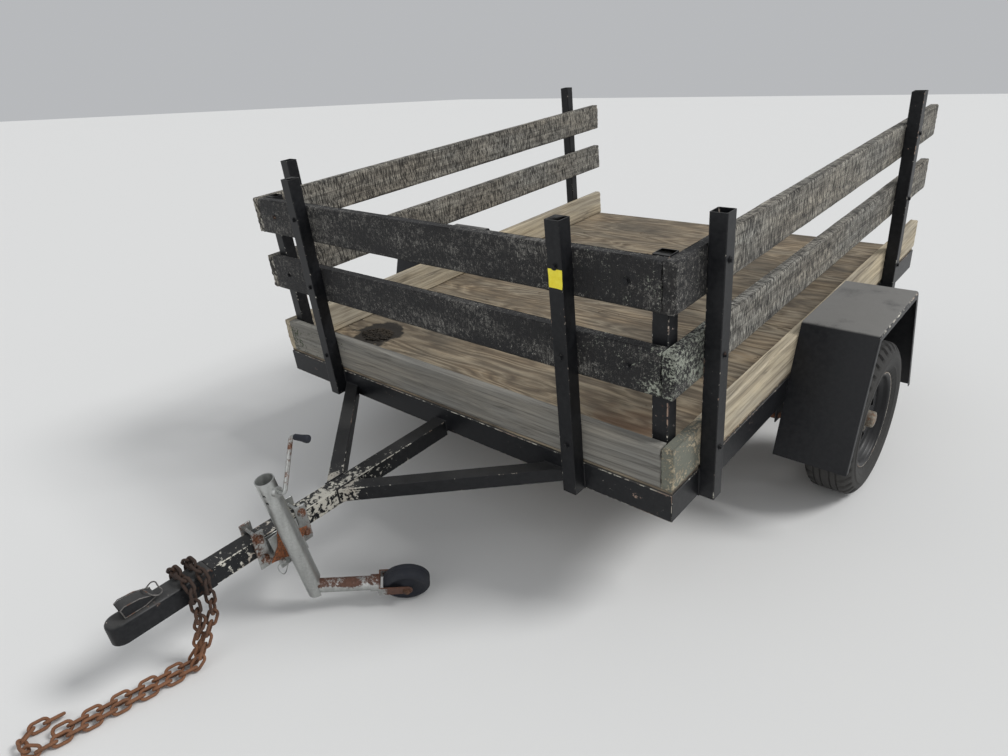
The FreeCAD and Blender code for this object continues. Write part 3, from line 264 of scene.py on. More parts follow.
# Long cracks run across the board, dense and uneven, where a noise meets a few even levels
split = w.math("PINGPONG", w.both(w.grain(grained, (66, 5, 5), 2.0), 9.0), 0.5)
width = w.ramp(w.speckle(place, 26.0, 4.0, 0.65), 0.36, 0.62, 0.05, 0.40)
across = w.math("SUBTRACT", 1.0, w.math("DIVIDE", split, width))
across = w.both(w.ramp(across, 0.0, 0.5), given["Crackle"])
hairs = w.ramp(w.cells(grained, (230, 30, 30)), 0.0, 0.12, 1.0, 0.0)
across = w.math("MAXIMUM", across, w.both(hairs, given["Crackle"], 0.45))
mottle = w.blend((fine, 0.30), (w.speckle(place, 75.0, 5.0, 0.75), 0.40),
                 (w.grain(place, (3, 9, 9)), 0.30))
coat = w.mix(w.ramp(mottle, 0.505, 0.565, 0.0, 0.9), given["Paint"], (0.155, 0.148, 0.134, 1))
coat = w.mix(w.both(w.ramp(flakes, 0.55, 0.60), w.ramp(mottle, 0.485, 0.55)), coat,
             (0.27, 0.26, 0.235, 1))
specks = w.both(w.ramp(w.speckle(place, 210.0, 3.0, 0.6), 0.60, 0.64), w.ramp(mottle, 0.49, 0.54))
coat = w.mix(specks, coat, (0.40, 0.39, 0.35, 1))
colour = w.mix(painted, bare, coat)
colour = w.mix(w.both(across, 0.9), colour, (0.010, 0.009, 0.009, 1))
spots = w.speckle(place, 115.0, 5.0, 0.75)
crust = w.ramp(w.blend((spots, 0.62), (w.speckle(place, 11.0, 4.0, 0.65), 0.38),
                       w.ramp(given["Lichen"], 0.0, 1.0, -0.16, 0.07)), 0.525, 0.56)
w.add("NodeGroupOutput", {
    "Color": w.mix(crust, colour, given["Crust"]),
    "Roughness": w.ramp(painted, 0, 1, 0.93, 0.70),
    "Height": w.blend((painted, 0.35), (fibres, 0.45), (checks, -1.0), (across, -0.8),
                      (crust, 0.4))})


def wood(name, turn, seed, cover, tones, lichen=0.0, crackle=1.0, checks=1.0, patch=None,
         crust=(0.33, 0.35, 0.29, 1)):
    """Old wood whose grain runs along local x once turned. A patch is a place, the distances
    over which it fades, and its own cover of paint and lichen."""
    finish, wiring, place = surface(name)
    if patch:
        spot, near, far, patch_cover, patch_lichen = patch
        away = wiring.blend(wiring.away(place, STANCE @ Vector(spot)),
                            wiring.ramp(wiring.speckle(place, 9.0), 0.3, 0.7, -0.05, 0.05))
        cover = wiring.ramp(away, near, far, patch_cover, cover)
        lichen = wiring.ramp(away, near, far, patch_lichen, lichen)
    along = wiring.add("ShaderNodeMapping", {"Vector": place, "Rotation": turn}).outputs[0]
    wiring.finish(wiring.group(old_wood, along, {
        "Seed": seed, "Cover": cover, "Lichen": lichen, "Crackle": crackle, "Checks": checks,
        "Crust": crust, "Pale": tones[0], "Tan": tones[1], "Dark": tones[2]}), 0.0022, 0.9)
    return finish


def add_piece(name, mesh, finish, slot, body="trailer", replaced=()):
    """A finished piece: its finish, the body that it rides on and the nodes that it stands for."""
    piece = set_up(name, mesh)
    if finish is not None:
        mesh.materials.clear()
        mesh.materials.append(finish)
    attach(piece, body)
    if replaced:
        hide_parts(*replaced)


def kept(shape, name):
    """A working shape made into a mesh."""
    mesh = bpy.data.meshes.new(name)
    shape.to_mesh(mesh)
    shape.free()
    return mesh


def plank(name, lengthwise, size, corner, seed, wear, pitch=(0.012, 0.0048, 0.007)):
    """A board as a fine grid: arrises worn round, faces hollowed along the grain, ends broken.
    Wear only takes wood away, so the board stays in its solid's box."""
    spacing = [pitch[0] if axis == lengthwise else pitch[1] if length < 0.06 else pitch[2]
               for axis, length in enumerate(size)]
    grid = bmesh.new()
    bmesh.ops.create_cube(grid, size=1.0)
    for axis in range(3):
        edges = [edge for edge in grid.edges
                 if abs((edge.verts[0].co - edge.verts[1].co)[axis]) > 0.5]
        bmesh.ops.subdivide_edges(grid, edges=edges, use_grid_fill=True,
                                  cuts=max(1, round(size[axis] / spacing[axis])) - 1)
    across = [axis for axis in (0, 1, 2) if axis != lengthwise]
    broken_reach = 0.05
    for vert in grid.verts:
        side = [math.copysign(1, vert.co[axis]) for axis in range(3)]
        depth = [size[axis] * (0.5 - abs(vert.co[axis])) for axis in range(3)]
        here = Vector([(vert.co[axis] + 0.5) * size[axis] for axis in range(3)])
        along = here[lengthwise]
        uneven = (0.5 + noise.noise(Vector((along * 6, seed, 0)))
                  + 0.6 * noise.noise(Vector((along * 45, seed, 3))))
        radius = max(0.0015, 0.003 + wear * uneven)
        near, far = sorted(across, key=lambda axis: depth[axis])
        if depth[far] < radius:
            here[near] -= side[near] * (radius - math.sqrt(
                max(radius ** 2 - (radius - depth[far]) ** 2, 0)))
        if depth[near] < 1e-9:
            hollow = noise.noise(Vector((along * 2.2, here[far] * 28, seed + near)))
            gouge = noise.noise(Vector((along * 9, here[far] * 150, seed + 7)))
            here[near] -= side[near] * (max(0.0, 0.0006 + 0.0007 * hollow)
                                        + 0.0022 * max(0.0, gouge - 0.25))
        if depth[lengthwise] < broken_reach:
            ring = noise.noise(Vector((here[across[0]] * 90, here[across[1]] * 60, seed)))
            here[lengthwise] -= side[lengthwise] * (
                max(0.0, 0.0025 + 0.006 * ring) * (1 - depth[lengthwise] / broken_reach))
        vert.co = here + Vector(corner)
    mesh = kept(grid, name)
    mesh.transform(STANCE)
    mesh.polygons.foreach_set("use_smooth", [True] * len(mesh.polygons))
    return mesh


BOARD_THICK, BOARD_HEIGHT, BED_WIDTH = 0.038, 0.14, 1.94
weathered = ((0.43, 0.42, 0.375, 1), (0.46, 0.42, 0.345, 1), (0.12, 0.108, 0.092, 1))
silvered = ((0.215, 0.21, 0.19, 1), (0.265, 0.245, 0.205, 1), (0.10, 0.094, 0.083, 1))
# The low side boards' tones are their own tan wood, lightened with painted sunlight
tan_with_painted_sun = ((0.43, 0.385, 0.30, 1), (0.55, 0.465, 0.32, 1), (0.15, 0.12, 0.085, 1))
MOSS, ALGAE = (0.040, 0.052, 0.024, 1), (0.15, 0.155, 0.125, 1)
# Level, underside, then the front, right and left board: cover of paint, lichen, patch at a spot
levels = (
    ("low", 0.012, (0.0, 0.0, ((-0.95, 0.0, 0.01), 0.10, 0.75, 0.0, 0.72)),
     (0.0, 0.0, ((0.97, 0.0, 0.06), 0.10, 0.28, 0.0, 1.3)), (0.0, 0.0, None)),
    ("middle", 0.312, (0.95, 0.10, ((0.96, 0.0, 0.32), 0.06, 0.50, 0.95, 0.68)),
     (0.22, 0.14, ((0.97, 0.02, 0.36), 0.20, 0.32, 0.95, 0.80)), (0.36, 0.15, None)),
    ("top", 0.557, (0.95, 0.22, ((0.96, 0.0, 0.60), 0.05, 0.40, 0.95, 0.5)),
     (0.27, 0.10, ((0.97, 0.02, 0.62), 0.18, 0.30, 1.0, 0.22)), (0.34, 0.12, None)))
seed = 1.0
for level, underside, *coats in levels:
    for side, (cover, lichen, patch) in zip(("front", "right", "left"), coats):
        lengthwise, turn = 1, (-PITCH, 0, -math.pi / 2)
        size = (BOARD_THICK, RAIL_LENGTH, BOARD_HEIGHT)
        corner = (BED_WIDTH / 2 - BOARD_THICK if side == "right" else -BED_WIDTH / 2, 0, underside)
        if side == "front":
            lengthwise, turn = 0, (0, 0, 0)
            size = (BED_WIDTH - 2 * BOARD_THICK, BOARD_THICK, BOARD_HEIGHT)
            corner = (BOARD_THICK - BED_WIDTH / 2, 0, underside)
        tones, wear, slot, settings = weathered, 0.002, "painted_board", {"checks": 0.45}
        if level == "low":
            tones = silvered if side == "front" else tan_with_painted_sun
            wear, slot = 0.0012, "bare_board"
            settings = {"crackle": 0.0, "checks": 0.35, "crust": MOSS if side == "front" else ALGAE}
        node = f"board_{side}_{level}"
        finish = wood(node + "_wood", turn, seed, cover, tones, lichen, patch=patch, **settings)
        add_piece(node + "_plank", plank(node, lengthwise, size, corner, seed, wear), finish, slot,
                  replaced=[node])
        seed += 1.0


# Load floor: two sheets of plywood laid on the cross members, bare, greyed and splintering, with
# a dark damp patch in the front left corner.
SHEET_THICK, SHEET_INSET, SEAM = 0.012, 0.003, 0.003
DAMP, RUSTY = (-0.72, 0.30, SHEET_THICK), (0.66, 0.2, SHEET_THICK)
deck_wood, w, place = surface("deck_plywood_worn")
outputs = w.group(old_wood, place, {
    "Seed": 31.0, "Cover": 0.0, "Lichen": 0.0, "Crackle": 0.0, "Checks": 0.25,
    "Pale": (0.26, 0.225, 0.165, 1), "Tan": (0.32, 0.245, 0.155, 1),
    "Dark": (0.085, 0.064, 0.044, 1)})
# Veneer is peeled from the log, so its rings show as wandering contours
peel = w.blend(w.grain(place, (0.9, 4.6, 4.6), 2.0, 0.5), (w.grain(place, (5, 60, 60), 3.0), 0.05))
rings = w.math("PINGPONG", w.both(peel, 17.0), 0.5)
toned = w.mix(w.ramp(rings, 0.05, 0.26, 0.60, 0.0), outputs["Color"], (0.075, 0.054, 0.038, 1))
toned = w.mix(w.ramp(rings, 0.34, 0.50, 0.0, 0.45), toned, (0.40, 0.335, 0.24, 1))
stain = w.ramp(w.grain(place, (1.8, 3.2, 3.2), 6.0, 0.7), 0.44, 0.64, 0.0, 0.72)
toned = w.mix(stain, toned, (0.075, 0.062, 0.047, 1))
wet = w.blend(w.away(place, STANCE @ Vector(DAMP)), (w.speckle(place, 11.0, 4.0), 0.22))
toned = w.mix(w.ramp(wet, 0.225, 0.25, 0.95, 0.0), toned, (0.014, 0.012, 0.010, 1))
rusty = w.blend(w.away(place, STANCE @ Vector(RUSTY)), (w.speckle(place, 14.0, 4.0), 0.2))
toned = w.mix(w.ramp(rusty, 0.16, 0.28, 0.38, 0.0), toned, (0.20, 0.095, 0.045, 1))
w.finish({"Color": toned, "Roughness": outputs["Roughness"], "Height": outputs["Height"]},
         0.002, 0.8)
sheet_length = RAIL_LENGTH / 2 - SHEET_INSET - SEAM / 2
for name, start, seed in (("deck_front_sheet", SHEET_INSET, 41.0),
                          ("deck_rear_sheet", RAIL_LENGTH / 2 + SEAM / 2, 43.0)):
    size = (BED_WIDTH - 2 * SHEET_INSET, sheet_length, SHEET_THICK)
    mesh = plank(name, 0, size, (SHEET_INSET - BED_WIDTH / 2, start, 0), seed, 0.0005,
                 pitch=(0.014, 0.006, 0.011))
    add_piece(name + "_ply", mesh, deck_wood, "deck_plywood", replaced=[name])


# Torn slivers of the top ply, curled up where it has cracked, strewn by a Geometry Nodes tree
def maker_tree(name, inputs):
    """An empty Geometry Nodes tree with a mesh in, a mesh out and named inputs."""
    return node_group("GeometryNodeTree", name, {
        "Geometry": "Geometry", **inputs, "Finish": "Material"}, {"Geometry": "Geometry"})


def close_tree(wiring, given, **values):
    """Sets an instance on each point, makes the instances real and gives them their finish."""
    placed = wiring.add("GeometryNodeInstanceOnPoints", values).outputs[0]
    real = wiring.add("GeometryNodeRealizeInstances", {"Geometry": placed}).outputs[0]
    done = wiring.add("GeometryNodeSetMaterial", {"Geometry": real, "Material": given["Finish"]})
    wiring.add("NodeGroupOutput", {"Geometry": done.outputs[0]})


def baked(maker, *helpers):
    """The object's shape with its modifiers applied; the object and its helpers are removed."""
    shape = bpy.data.meshes.new_from_object(
        maker.evaluated_get(bpy.context.evaluated_depsgraph_get()))
    maker.modifiers.clear()
    for thing in (*helpers, maker):
        bpy.data.objects.remove(thing)
    return shape


def grown(name, base, tree, values, slot, body="trailer", replaced=()):
    """Runs a tree on a base mesh, with its inputs by name, and keeps the result as a piece."""
    maker = set_up(name + "_maker", base)
    modifier = maker.modifiers.new(name, "NODES")
    modifier.node_group = tree
    sockets = {item.name: item.identifier for item in tree.interface.items_tree
               if item.item_type == "SOCKET" and item.in_out == "INPUT"}
    for label, value in values.items():
        modifier[sockets[label]] = value
    shape = baked(maker)
    shape.name = name
    add_piece(name, shape, None, slot, body, replaced)


sliver_tree, w, given = maker_tree("ply_slivers", {
    "Count": 30.0, "Length": 0.045, "Thickness": 0.0012, "Seed": 5})
strewn = w.add("GeometryNodeDistributePointsOnFaces", {
    "Mesh": given["Geometry"], "Density": given["Count"], "Seed": given["Seed"]})
chip = w.add("GeometryNodeMeshCone", {"Vertices": 5, "Radius Top": 0.0,
                                      "Radius Bottom": given["Thickness"],
                                      "Depth": given["Length"]})
lying = w.add("GeometryNodeTransform", {"Geometry": chip.outputs["Mesh"],
                                        "Rotation": (0.0, 1.48, 0.0), "Scale": (1.0, 2.4, 1.0)})
spin = w.add("FunctionNodeRandomValue", {0: (-0.05, -0.16, -0.7), 1: (0.05, 0.02, 0.7),
                                         "Seed": given["Seed"]}, data_type="FLOAT_VECTOR")
sizes = w.add("FunctionNodeRandomValue", {2: 0.35, 3: 1.1, "Seed": given["Seed"]})
close_tree(w, given, Points=strewn.outputs["Points"], Instance=lying.outputs[0],
           Rotation=spin.outputs["Value"], Scale=sizes.outputs[1])
bed = mesh_of("bed_patch", [STANCE @ Vector((*corner, SHEET_THICK)) for corner in (
    (-0.85, 0.1), (0.85, 0.1), (0.85, 2.3), (-0.85, 2.3))], faces=[(0, 1, 2, 3)])
sliver_wood = wood("torn_ply", (0, 0, 0), 60.0, 0.0, (
    (0.20, 0.15, 0.10, 1), (0.30, 0.22, 0.14, 1), (0.04, 0.03, 0.022, 1)), crackle=0.0)
grown("ply_slivers", bed, sliver_tree, {"Count": 26.0, "Finish": sliver_wood}, "deck_plywood")
# Leaf litter rotting on the damp patch
round_about = [step * math.pi / 8 for step in range(16)]
litter_bed = mesh_of("litter_bed", [
    STANCE @ Vector((DAMP[0] + 0.085 * math.cos(angle), DAMP[1] + 0.06 * math.sin(angle),
                     SHEET_THICK + 0.003)) for angle in round_about], faces=[tuple(range(16))])
litter = wood("leaf_litter", (0, 0, 0), 62.0, 0.0, (
    (0.035, 0.027, 0.018, 1), (0.055, 0.04, 0.024, 1), (0.012, 0.01, 0.008, 1)), crackle=0.0)
grown("leaf_litter", litter_bed, sliver_tree, {
    "Count": 15000.0, "Length": 0.026, "Thickness": 0.0032, "Seed": 9, "Finish": litter},
    "deck_plywood")


# Deck frame: four rails and three cross members of pressed steel channel, mitred, welded and
# painted satin black. The paint is chipped along the arrises, dusty on top and rusting through.
def solid_of(node):
    """A working copy of a node's plain solid, its corners joined."""
    shape = bmesh.new()
    shape.from_mesh(frame["nodes"][node].data)
    bmesh.ops.remove_doubles(shape, verts=shape.verts, dist=1e-5)
    return shape


def rounded(shape, edges, width, segments, worn):
    """Rounds edges. Attribute arris is how worn the faces are that this makes, and 0 elsewhere; on
    the fender's outer fold it also stands for a painted highlight.
    """
    made = set(bmesh.ops.bevel(shape, geom=edges, offset=width, segments=segments,
                               affect="EDGES", profile=0.5, clamp_overlap=True)["faces"])
    arris = shape.loops.layers.float_color.new("arris")
    for face in shape.faces:
        share = worn(face) if face in made else 0.0
        for loop in face.loops:
            loop[arris] = (share, share, share, 1)
    return made


def softened(node, width, segments=2, only=None):
    """The solid's own shape with rounded arrises, by default all the sharp ones."""
    shape = solid_of(node)
    bmesh.ops.dissolve_limit(shape, angle_limit=math.radians(0.6), verts=shape.verts,
                             edges=shape.edges)
    shape.normal_update()
    turns = {edge: math.degrees(edge.calc_face_angle()) for edge in shape.edges if edge.is_manifold}
    for face in shape.faces:
        if any(0.6 < turns.get(edge, 0) < 24 for edge in face.edges):
            face.smooth = True
    sharp = [edge for edge in shape.edges
             if turns.get(edge, 0) > 24 and (only is None or only(edge))]
    for face in rounded(shape, sharp, width, segments, lambda face: 1.0):
        face.smooth = True
    return kept(shape, node + "_shape")


def dress(name, node, width, finish, slot="black_paint", body="trailer", segments=2, only=None):
    """A piece that is its solid's own shape with rounded arrises, in its own finish."""
    add_piece(name, softened(node, width, segments, only), finish, slot, body, [node])


# Painted steel: chips gather on arrises and round one spot, rust follows them, dust lies on top
painted_steel, w, given = effect("painted_steel", {
    "Paint": (0.0055, 0.006, 0.0075, 1), "Chip": (0.56, 0.54, 0.47, 1),
    "Rust": (0.16, 0.062, 0.028, 1), "Chips": 0.1, "Spot": (0, 0, -9), "Reach": 0.2,
    "Arris": 0.0, "Wear": 0.4, "Dust": 0.3, "Rusting": 0.2, "Seed": 0.0})
place = w.seeded(given)
broad = w.speckle(place, 7.0)
fine = w.speckle(place, 62.0, 5.0, 0.68)
grit = w.speckle(place, 420.0, 2.0)
near = w.math("DIVIDE", w.away(given["Place"], given["Spot"]), given["Reach"])
near = w.add("ShaderNodeClamp", {"Value": w.math("SUBTRACT", 1.0, near)}).outputs[0]
# On the fender's outer fold and the wheel rims' lips these arris chips are worn paint and a painted
# highlight
urge = w.blend((fine, 0.7), (broad, 0.3), (given["Chips"], 0.16), (near, 0.19),
               (given["Arris"], given["Wear"], 0.30))
chips = w.ramp(urge, 0.655, 0.675)
rusting = w.blend((broad, 0.55), (fine, 0.45), w.ramp(given["Rusting"], 0.0, 1.0, -0.16, 0.16),
                  (given["Arris"], 0.03))
rust = w.ramp(rusting, 0.54, 0.62)
tone = w.mix(w.ramp(fine, 0.35, 0.75), given["Paint"], (0.0155, 0.016, 0.0175, 1))
tone = w.mix(w.both(rust, 0.8), tone, given["Rust"])
bare = w.mix(w.ramp(fine, 0.60, 0.72), given["Chip"], (0.66, 0.64, 0.58, 1))
bare = w.mix(w.ramp(broad, 0.50, 0.62, 0.0, 0.75), bare, given["Rust"])
bare = w.mix(near, bare, given["Chip"])
tone = w.mix(chips, tone, bare)
dust = w.both(w.ramp(w.upward(), 0.45, 0.95), given["Dust"],
              w.ramp(w.blend((broad, 0.7), (grit, 0.3)), 0.24, 0.56))
w.add("NodeGroupOutput", {
    "Color": w.mix(dust, tone, (0.175, 0.171, 0.162, 1)),
    "Roughness": w.blend(w.ramp(fine, 0.3, 0.7, 0.34, 0.48), (rust, 0.3), (chips, 0.25),
                         (dust, 0.35)),
    "Height": w.blend((grit, 0.08), (chips, -0.5), (rust, grit, 0.6))})


def painted(name, patch=None, **values):
    """Painted steel with this piece's own amounts of chips, rust and dust. A patch is a place
    and a reach round which more of the paint is off."""
    finish, wiring, place = surface(name)
    if patch:
        spot, reach = patch
        values["Chips"] = wiring.ramp(wiring.away(place, STANCE @ Vector(spot)), 0.0, reach, 0.8,
                                      values["Chips"])
    arris = wiring.add("ShaderNodeAttribute", attribute_name="arris").outputs["Fac"]
    wiring.finish(wiring.group(painted_steel, place, {"Arris": arris, **values}), 0.0009)
    finish.node_tree.nodes["Principled BSDF"].inputs["Specular IOR Level"].default_value = 0.26
    return finish


rail_paint = painted("rail_paint", Chips=0.0, Wear=0.30, Dust=0.4, Rusting=0.16)
corner_paint = painted("front_rail_paint", Chips=0.04, Wear=0.50, Dust=0.6, Rusting=0.12,
                       Chip=(0.60, 0.58, 0.50, 1), Seed=3.0)
for side in ("front", "rear", "left", "right"):
    node = f"frame_{side}_rail"
    dress(node + "_channel", node, 0.0022, corner_paint if side == "front" else rail_paint)
dress("cross_channels", "cross_members", 0.002,
      painted("underside_paint", Chips=0.05, Wear=0.3, Dust=0.1, Rusting=0.62, Seed=5.0))


# Stakes: eight lengths of square steel tube with rounded corners, open at the top, welded to the
# rails; the two shorter inner ones tie the front corners of the boards together.
def upright(edge):
    """True for the long edges of a stake."""
    return (edge.verts[0].co - edge.verts[1].co).length > 0.3


stake_paint = painted("stake_paint", Chips=0.0, Wear=0.26, Dust=0.3, Rusting=0.08, Seed=8.0)
corner_stake_paint = painted("corner_stake_paint", Chips=0.02, Wear=0.35, Dust=0.3, Rusting=0.26,
                             Seed=11.0)
for node in ("post_front_right", "post_front_left", "post_right_fore", "post_right_aft",
             "post_left_fore", "post_left_aft", "corner_post_right", "corner_post_left"):
    dress(node + "_tube", node, 0.0028, corner_stake_paint if node.startswith("corner")
          else stake_paint, segments=3, only=upright)


# Bolts: a hexagon head on a washer, one at each board on every stake, set by a tree
def lifted(wiring, shape, height, **values):
    """A shape moved up by a height that the tree works out."""
    lift = wiring.add("ShaderNodeCombineXYZ", {"Z": height}).outputs[0]
    return wiring.add("GeometryNodeTransform", {
        "Geometry": shape.outputs["Mesh"], "Translation": lift, **values}).outputs[0]


bolt_tree, w, given = maker_tree("bolts", {
    "Head radius": 0.009, "Head height": 0.0065, "Washer radius": 0.0125,
    "Washer height": 0.002})
radius, height, washer_height = [
    given[label] for label in ("Head radius", "Head height", "Washer height")]
washer = w.add("GeometryNodeMeshCylinder", {"Vertices": 20, "Radius": given["Washer radius"],
                                            "Depth": washer_height})
head = w.add("GeometryNodeMeshCylinder", {"Vertices": 6, "Radius": radius, "Depth": height})
crown = w.add("GeometryNodeMeshUVSphere", {"Segments": 12, "Rings": 6,
                                           "Radius": w.both(radius, 0.82)})
flat = w.add("ShaderNodeCombineXYZ", {
    "X": 1.0, "Y": 1.0, "Z": w.math("DIVIDE", w.both(height, 0.35), radius)}).outputs[0]
bolt = w.add("GeometryNodeJoinGeometry")
for part in (lifted(w, washer, w.both(washer_height, 0.5)),
             lifted(w, head, w.blend((height, 0.5), washer_height)),
             lifted(w, crown, w.blend(height, washer_height), Scale=flat)):
    w.tree.links.new(part, bolt.inputs[0])
facing = w.add("GeometryNodeInputNamedAttribute", {"Name": "facing"},
               data_type="FLOAT_VECTOR").outputs[0]
turned = w.add("FunctionNodeAlignRotationToVector", {"Vector": facing}, axis="Z").outputs[0]
close_tree(w, given, Points=given["Geometry"], Instance=bolt.outputs[0], Rotation=turned)


def pointed(name, corners, attribute, vectors):
    """Loose points with a vector each, for a tree that sets things on them."""
    mesh = mesh_of(name, corners)
    layer = mesh.attributes.new(attribute, "FLOAT_VECTOR", "POINT")
    for item, vector in zip(layer.data, vectors):
        item.vector = vector
    return mesh


def bolted(name, places, finish, sizes, slot, body="trailer", stance=STANCE):
    """Bolts at places with a direction each; sizes are head and washer, radius and height."""
    base = pointed(name + "_places", [stance @ Vector(spot) for spot, _ in places], "facing",
                   [stance.to_3x3() @ Vector(way) for _, way in places])
    labels = ("Head radius", "Head height", "Washer radius", "Washer height")
    grown(name, base, bolt_tree, {"Finish": finish, **dict(zip(labels, sizes))}, slot, body)


STAKE = 0.05
FRONT_STAKES = (0.637, -0.604)
SIDE_STAKES = {1: (0.187, 1.937), -1: (0.223, 2.209)}
board_bolts = []
for height in (0.085, 0.385, 0.655):
    board_bolts += [((x, -STAKE, height), (0, -1, 0)) for x in FRONT_STAKES]
    board_bolts += [((side * (BED_WIDTH / 2 + STAKE), y, height), (side, 0, 0))
                    for side, ys in SIDE_STAKES.items() for y in ys]
board_bolts += [((side * 0.83, -0.0003, height), (0, -1, 0))
                for side in (1, -1) for height in (0.385, 0.63)]
bolt_paint = painted("bolt_paint", Chips=0.1, Wear=0.4, Dust=0.2, Rusting=0.3, Seed=14.0)
bolted("board_bolts", board_bolts, bolt_paint, (0.0075, 0.005, 0.0105, 0.0016), "rusty_steel")


# Drawbar and braces: square steel tube, painted black, welded into an A. Along the top, where a
# ball mount has rubbed it and rain stands, the paint has flaked to a white primer.
flaked = painted("drawbar_paint", ((0.02, -0.905, -0.062), 0.14), Chips=0.06, Wear=0.30, Dust=0.15,
                 Rusting=0.14, Spot=STANCE @ Vector((0.0, -0.53, -0.05)), Reach=0.40, Seed=17.0)
braced = painted("brace_paint", Chips=0.02, Wear=0.25, Dust=0.2, Rusting=0.12,
                 Spot=STANCE @ Vector((0.0, -0.50, -0.05)), Reach=0.24, Seed=19.0)
dress("drawbar_tube", "drawbar", 0.004, flaked, segments=3)
for node in ("brace_right", "brace_left"):
    dress(node + "_tube", node, 0.0034, braced, segments=3)

# Weld beads: a row of overlapping ripples laid along each joint's line
bead_tree, w, given = maker_tree("weld_beads", {"Ripple": 0.0038, "Step": 0.0026, "Seed": 3})
line = w.add("GeometryNodeMeshToCurve", {"Mesh": given["Geometry"]}).outputs[0]
stepped = w.add("GeometryNodeCurveToPoints", {"Curve": line, "Length": given["Step"]},
                mode="LENGTH")
ripple = w.add("GeometryNodeMeshIcoSphere", {"Radius": given["Ripple"], "Subdivisions": 2})
squeezed = w.add("GeometryNodeTransform", {"Geometry": ripple.outputs["Mesh"],
                                           "Scale": (1.0, 1.0, 0.62)})
uneven = w.add("FunctionNodeRandomValue", {2: 0.82, 3: 1.12, "Seed": given["Seed"]})
close_tree(w, given, Points=stepped.outputs["Points"], Instance=squeezed.outputs[0],
           Rotation=stepped.outputs["Rotation"], Scale=uneven.outputs[1])
DROP, TUBE, BRACE, FOOT_X, APEX_Y = 0.055, 0.060, 0.050, 0.540, 0.495
foot_half = BRACE / 2 * math.hypot(FOOT_X, APEX_Y) / APEX_Y
apex_half = BRACE / 2 * math.hypot(FOOT_X, APEX_Y) / FOOT_X
apex_y = -APEX_Y + TUBE / 2 * APEX_Y / FOOT_X
STAKE_WELD = (-0.004, -RAIL_DEPTH)
seams = []
for side in (1, -1):
    foot_in, foot_out = side * (FOOT_X - foot_half), side * (FOOT_X + foot_half)
    flank = side * TUBE / 2
    seams += [[(foot_in, 0, -DROP), (foot_out, 0, -DROP), (foot_out, 0, -RAIL_DEPTH)],
              [(flank, apex_y + apex_half, -DROP), (flank, apex_y - apex_half, -DROP),
               (flank, apex_y - apex_half, -DROP - BRACE)]]
seams.append([(-TUBE / 2, 0, -DROP), (TUBE / 2, 0, -DROP)])
seams += [[(side * TUBE / 2, 0, -DROP), (side * TUBE / 2, 0, -RAIL_DEPTH)] for side in (1, -1)]
seams += [[(x + edge * STAKE / 2, 0, z) for z in STAKE_WELD]
          for x in FRONT_STAKES for edge in (-1, 1)]
seams += [[(side * BED_WIDTH / 2, y + edge * STAKE / 2, z) for z in STAKE_WELD]
          for side, ys in SIDE_STAKES.items() for y in ys for edge in (-1, 1)]
corners, joins = [], []
for seam in seams:
    joins += [(len(corners) + step, len(corners) + step + 1) for step in range(len(seam) - 1)]
    corners += seam
weld_paint = painted("weld_paint", Chips=0.1, Wear=0.0, Dust=0.2, Rusting=0.2, Seed=23.0)
grown("weld_beads", mesh_of("weld_lines", [STANCE @ Vector(corner) for corner in corners], joins),
      bead_tree, {"Finish": weld_paint}, "black_paint")


# Coupler: a pressed shell over the drawbar's front end, round-nosed over the ball, black and worn,
# with its latch lever raised behind the nose and a wire clip through the latch.
coupler_paint = painted("coupler_paint", Chips=0.0, Wear=0.12, Dust=0.25, Rusting=0.34,
                        Seed=29.0)
roof_z = -(DROP - 0.004)


def roof_edge(edge):
    """True for the edges round the coupler's roof."""
    back = STANCE.inverted()
    return min((back @ vert.co).z for vert in edge.verts) > roof_z - 0.001


dress("coupler_shell", "coupler_body", 0.011, coupler_paint, segments=4, only=roof_edge)


def strip(shape, first, second):
    """Faces between two rows of corners."""
    for step in range(len(first) - 1):
        shape.faces.new((first[step], second[step], second[step + 1], first[step + 1]))


def face_up(shape):
    """Turns a sheet's outer side out: its highest face looks up."""
    bmesh.ops.recalc_face_normals(shape, faces=shape.faces)
    if max(shape.faces, key=lambda face: face.calc_center_median().z).normal.z < 0:
        bmesh.ops.reverse_faces(shape, faces=shape.faces)


def thickened(mesh, thickness, bevel=0.0, offset=-1.0, segments=2):
    """A sheet given its wall and rounded edges, with the modifiers applied."""
    maker = set_up(mesh.name + "_maker", mesh)
    if bevel:
        edges = maker.modifiers.new("fold", "BEVEL")
        edges.width = bevel
        edges.segments = segments
        edges.limit_method = "ANGLE"
        edges.angle_limit = math.radians(24)
    wall = maker.modifiers.new("wall", "SOLIDIFY")
    wall.thickness = thickness
    wall.offset = offset
    done = baked(maker)
    done.polygons.foreach_set("use_smooth", [True] * len(done.polygons))
    done.set_sharp_from_angle(angle=math.radians(38))
    return done


def placed_piece(name, mesh, stance, *rest):
    """Moves a mesh from where it was drawn to its place and makes it a piece."""
    mesh.transform(stance)
    add_piece(name, mesh, *rest)


LATCH_WIDTH, LATCH_BACK, LATCH_FRONT, LATCH_TOP = 0.0215, -1.097, -1.189, roof_z + 0.037
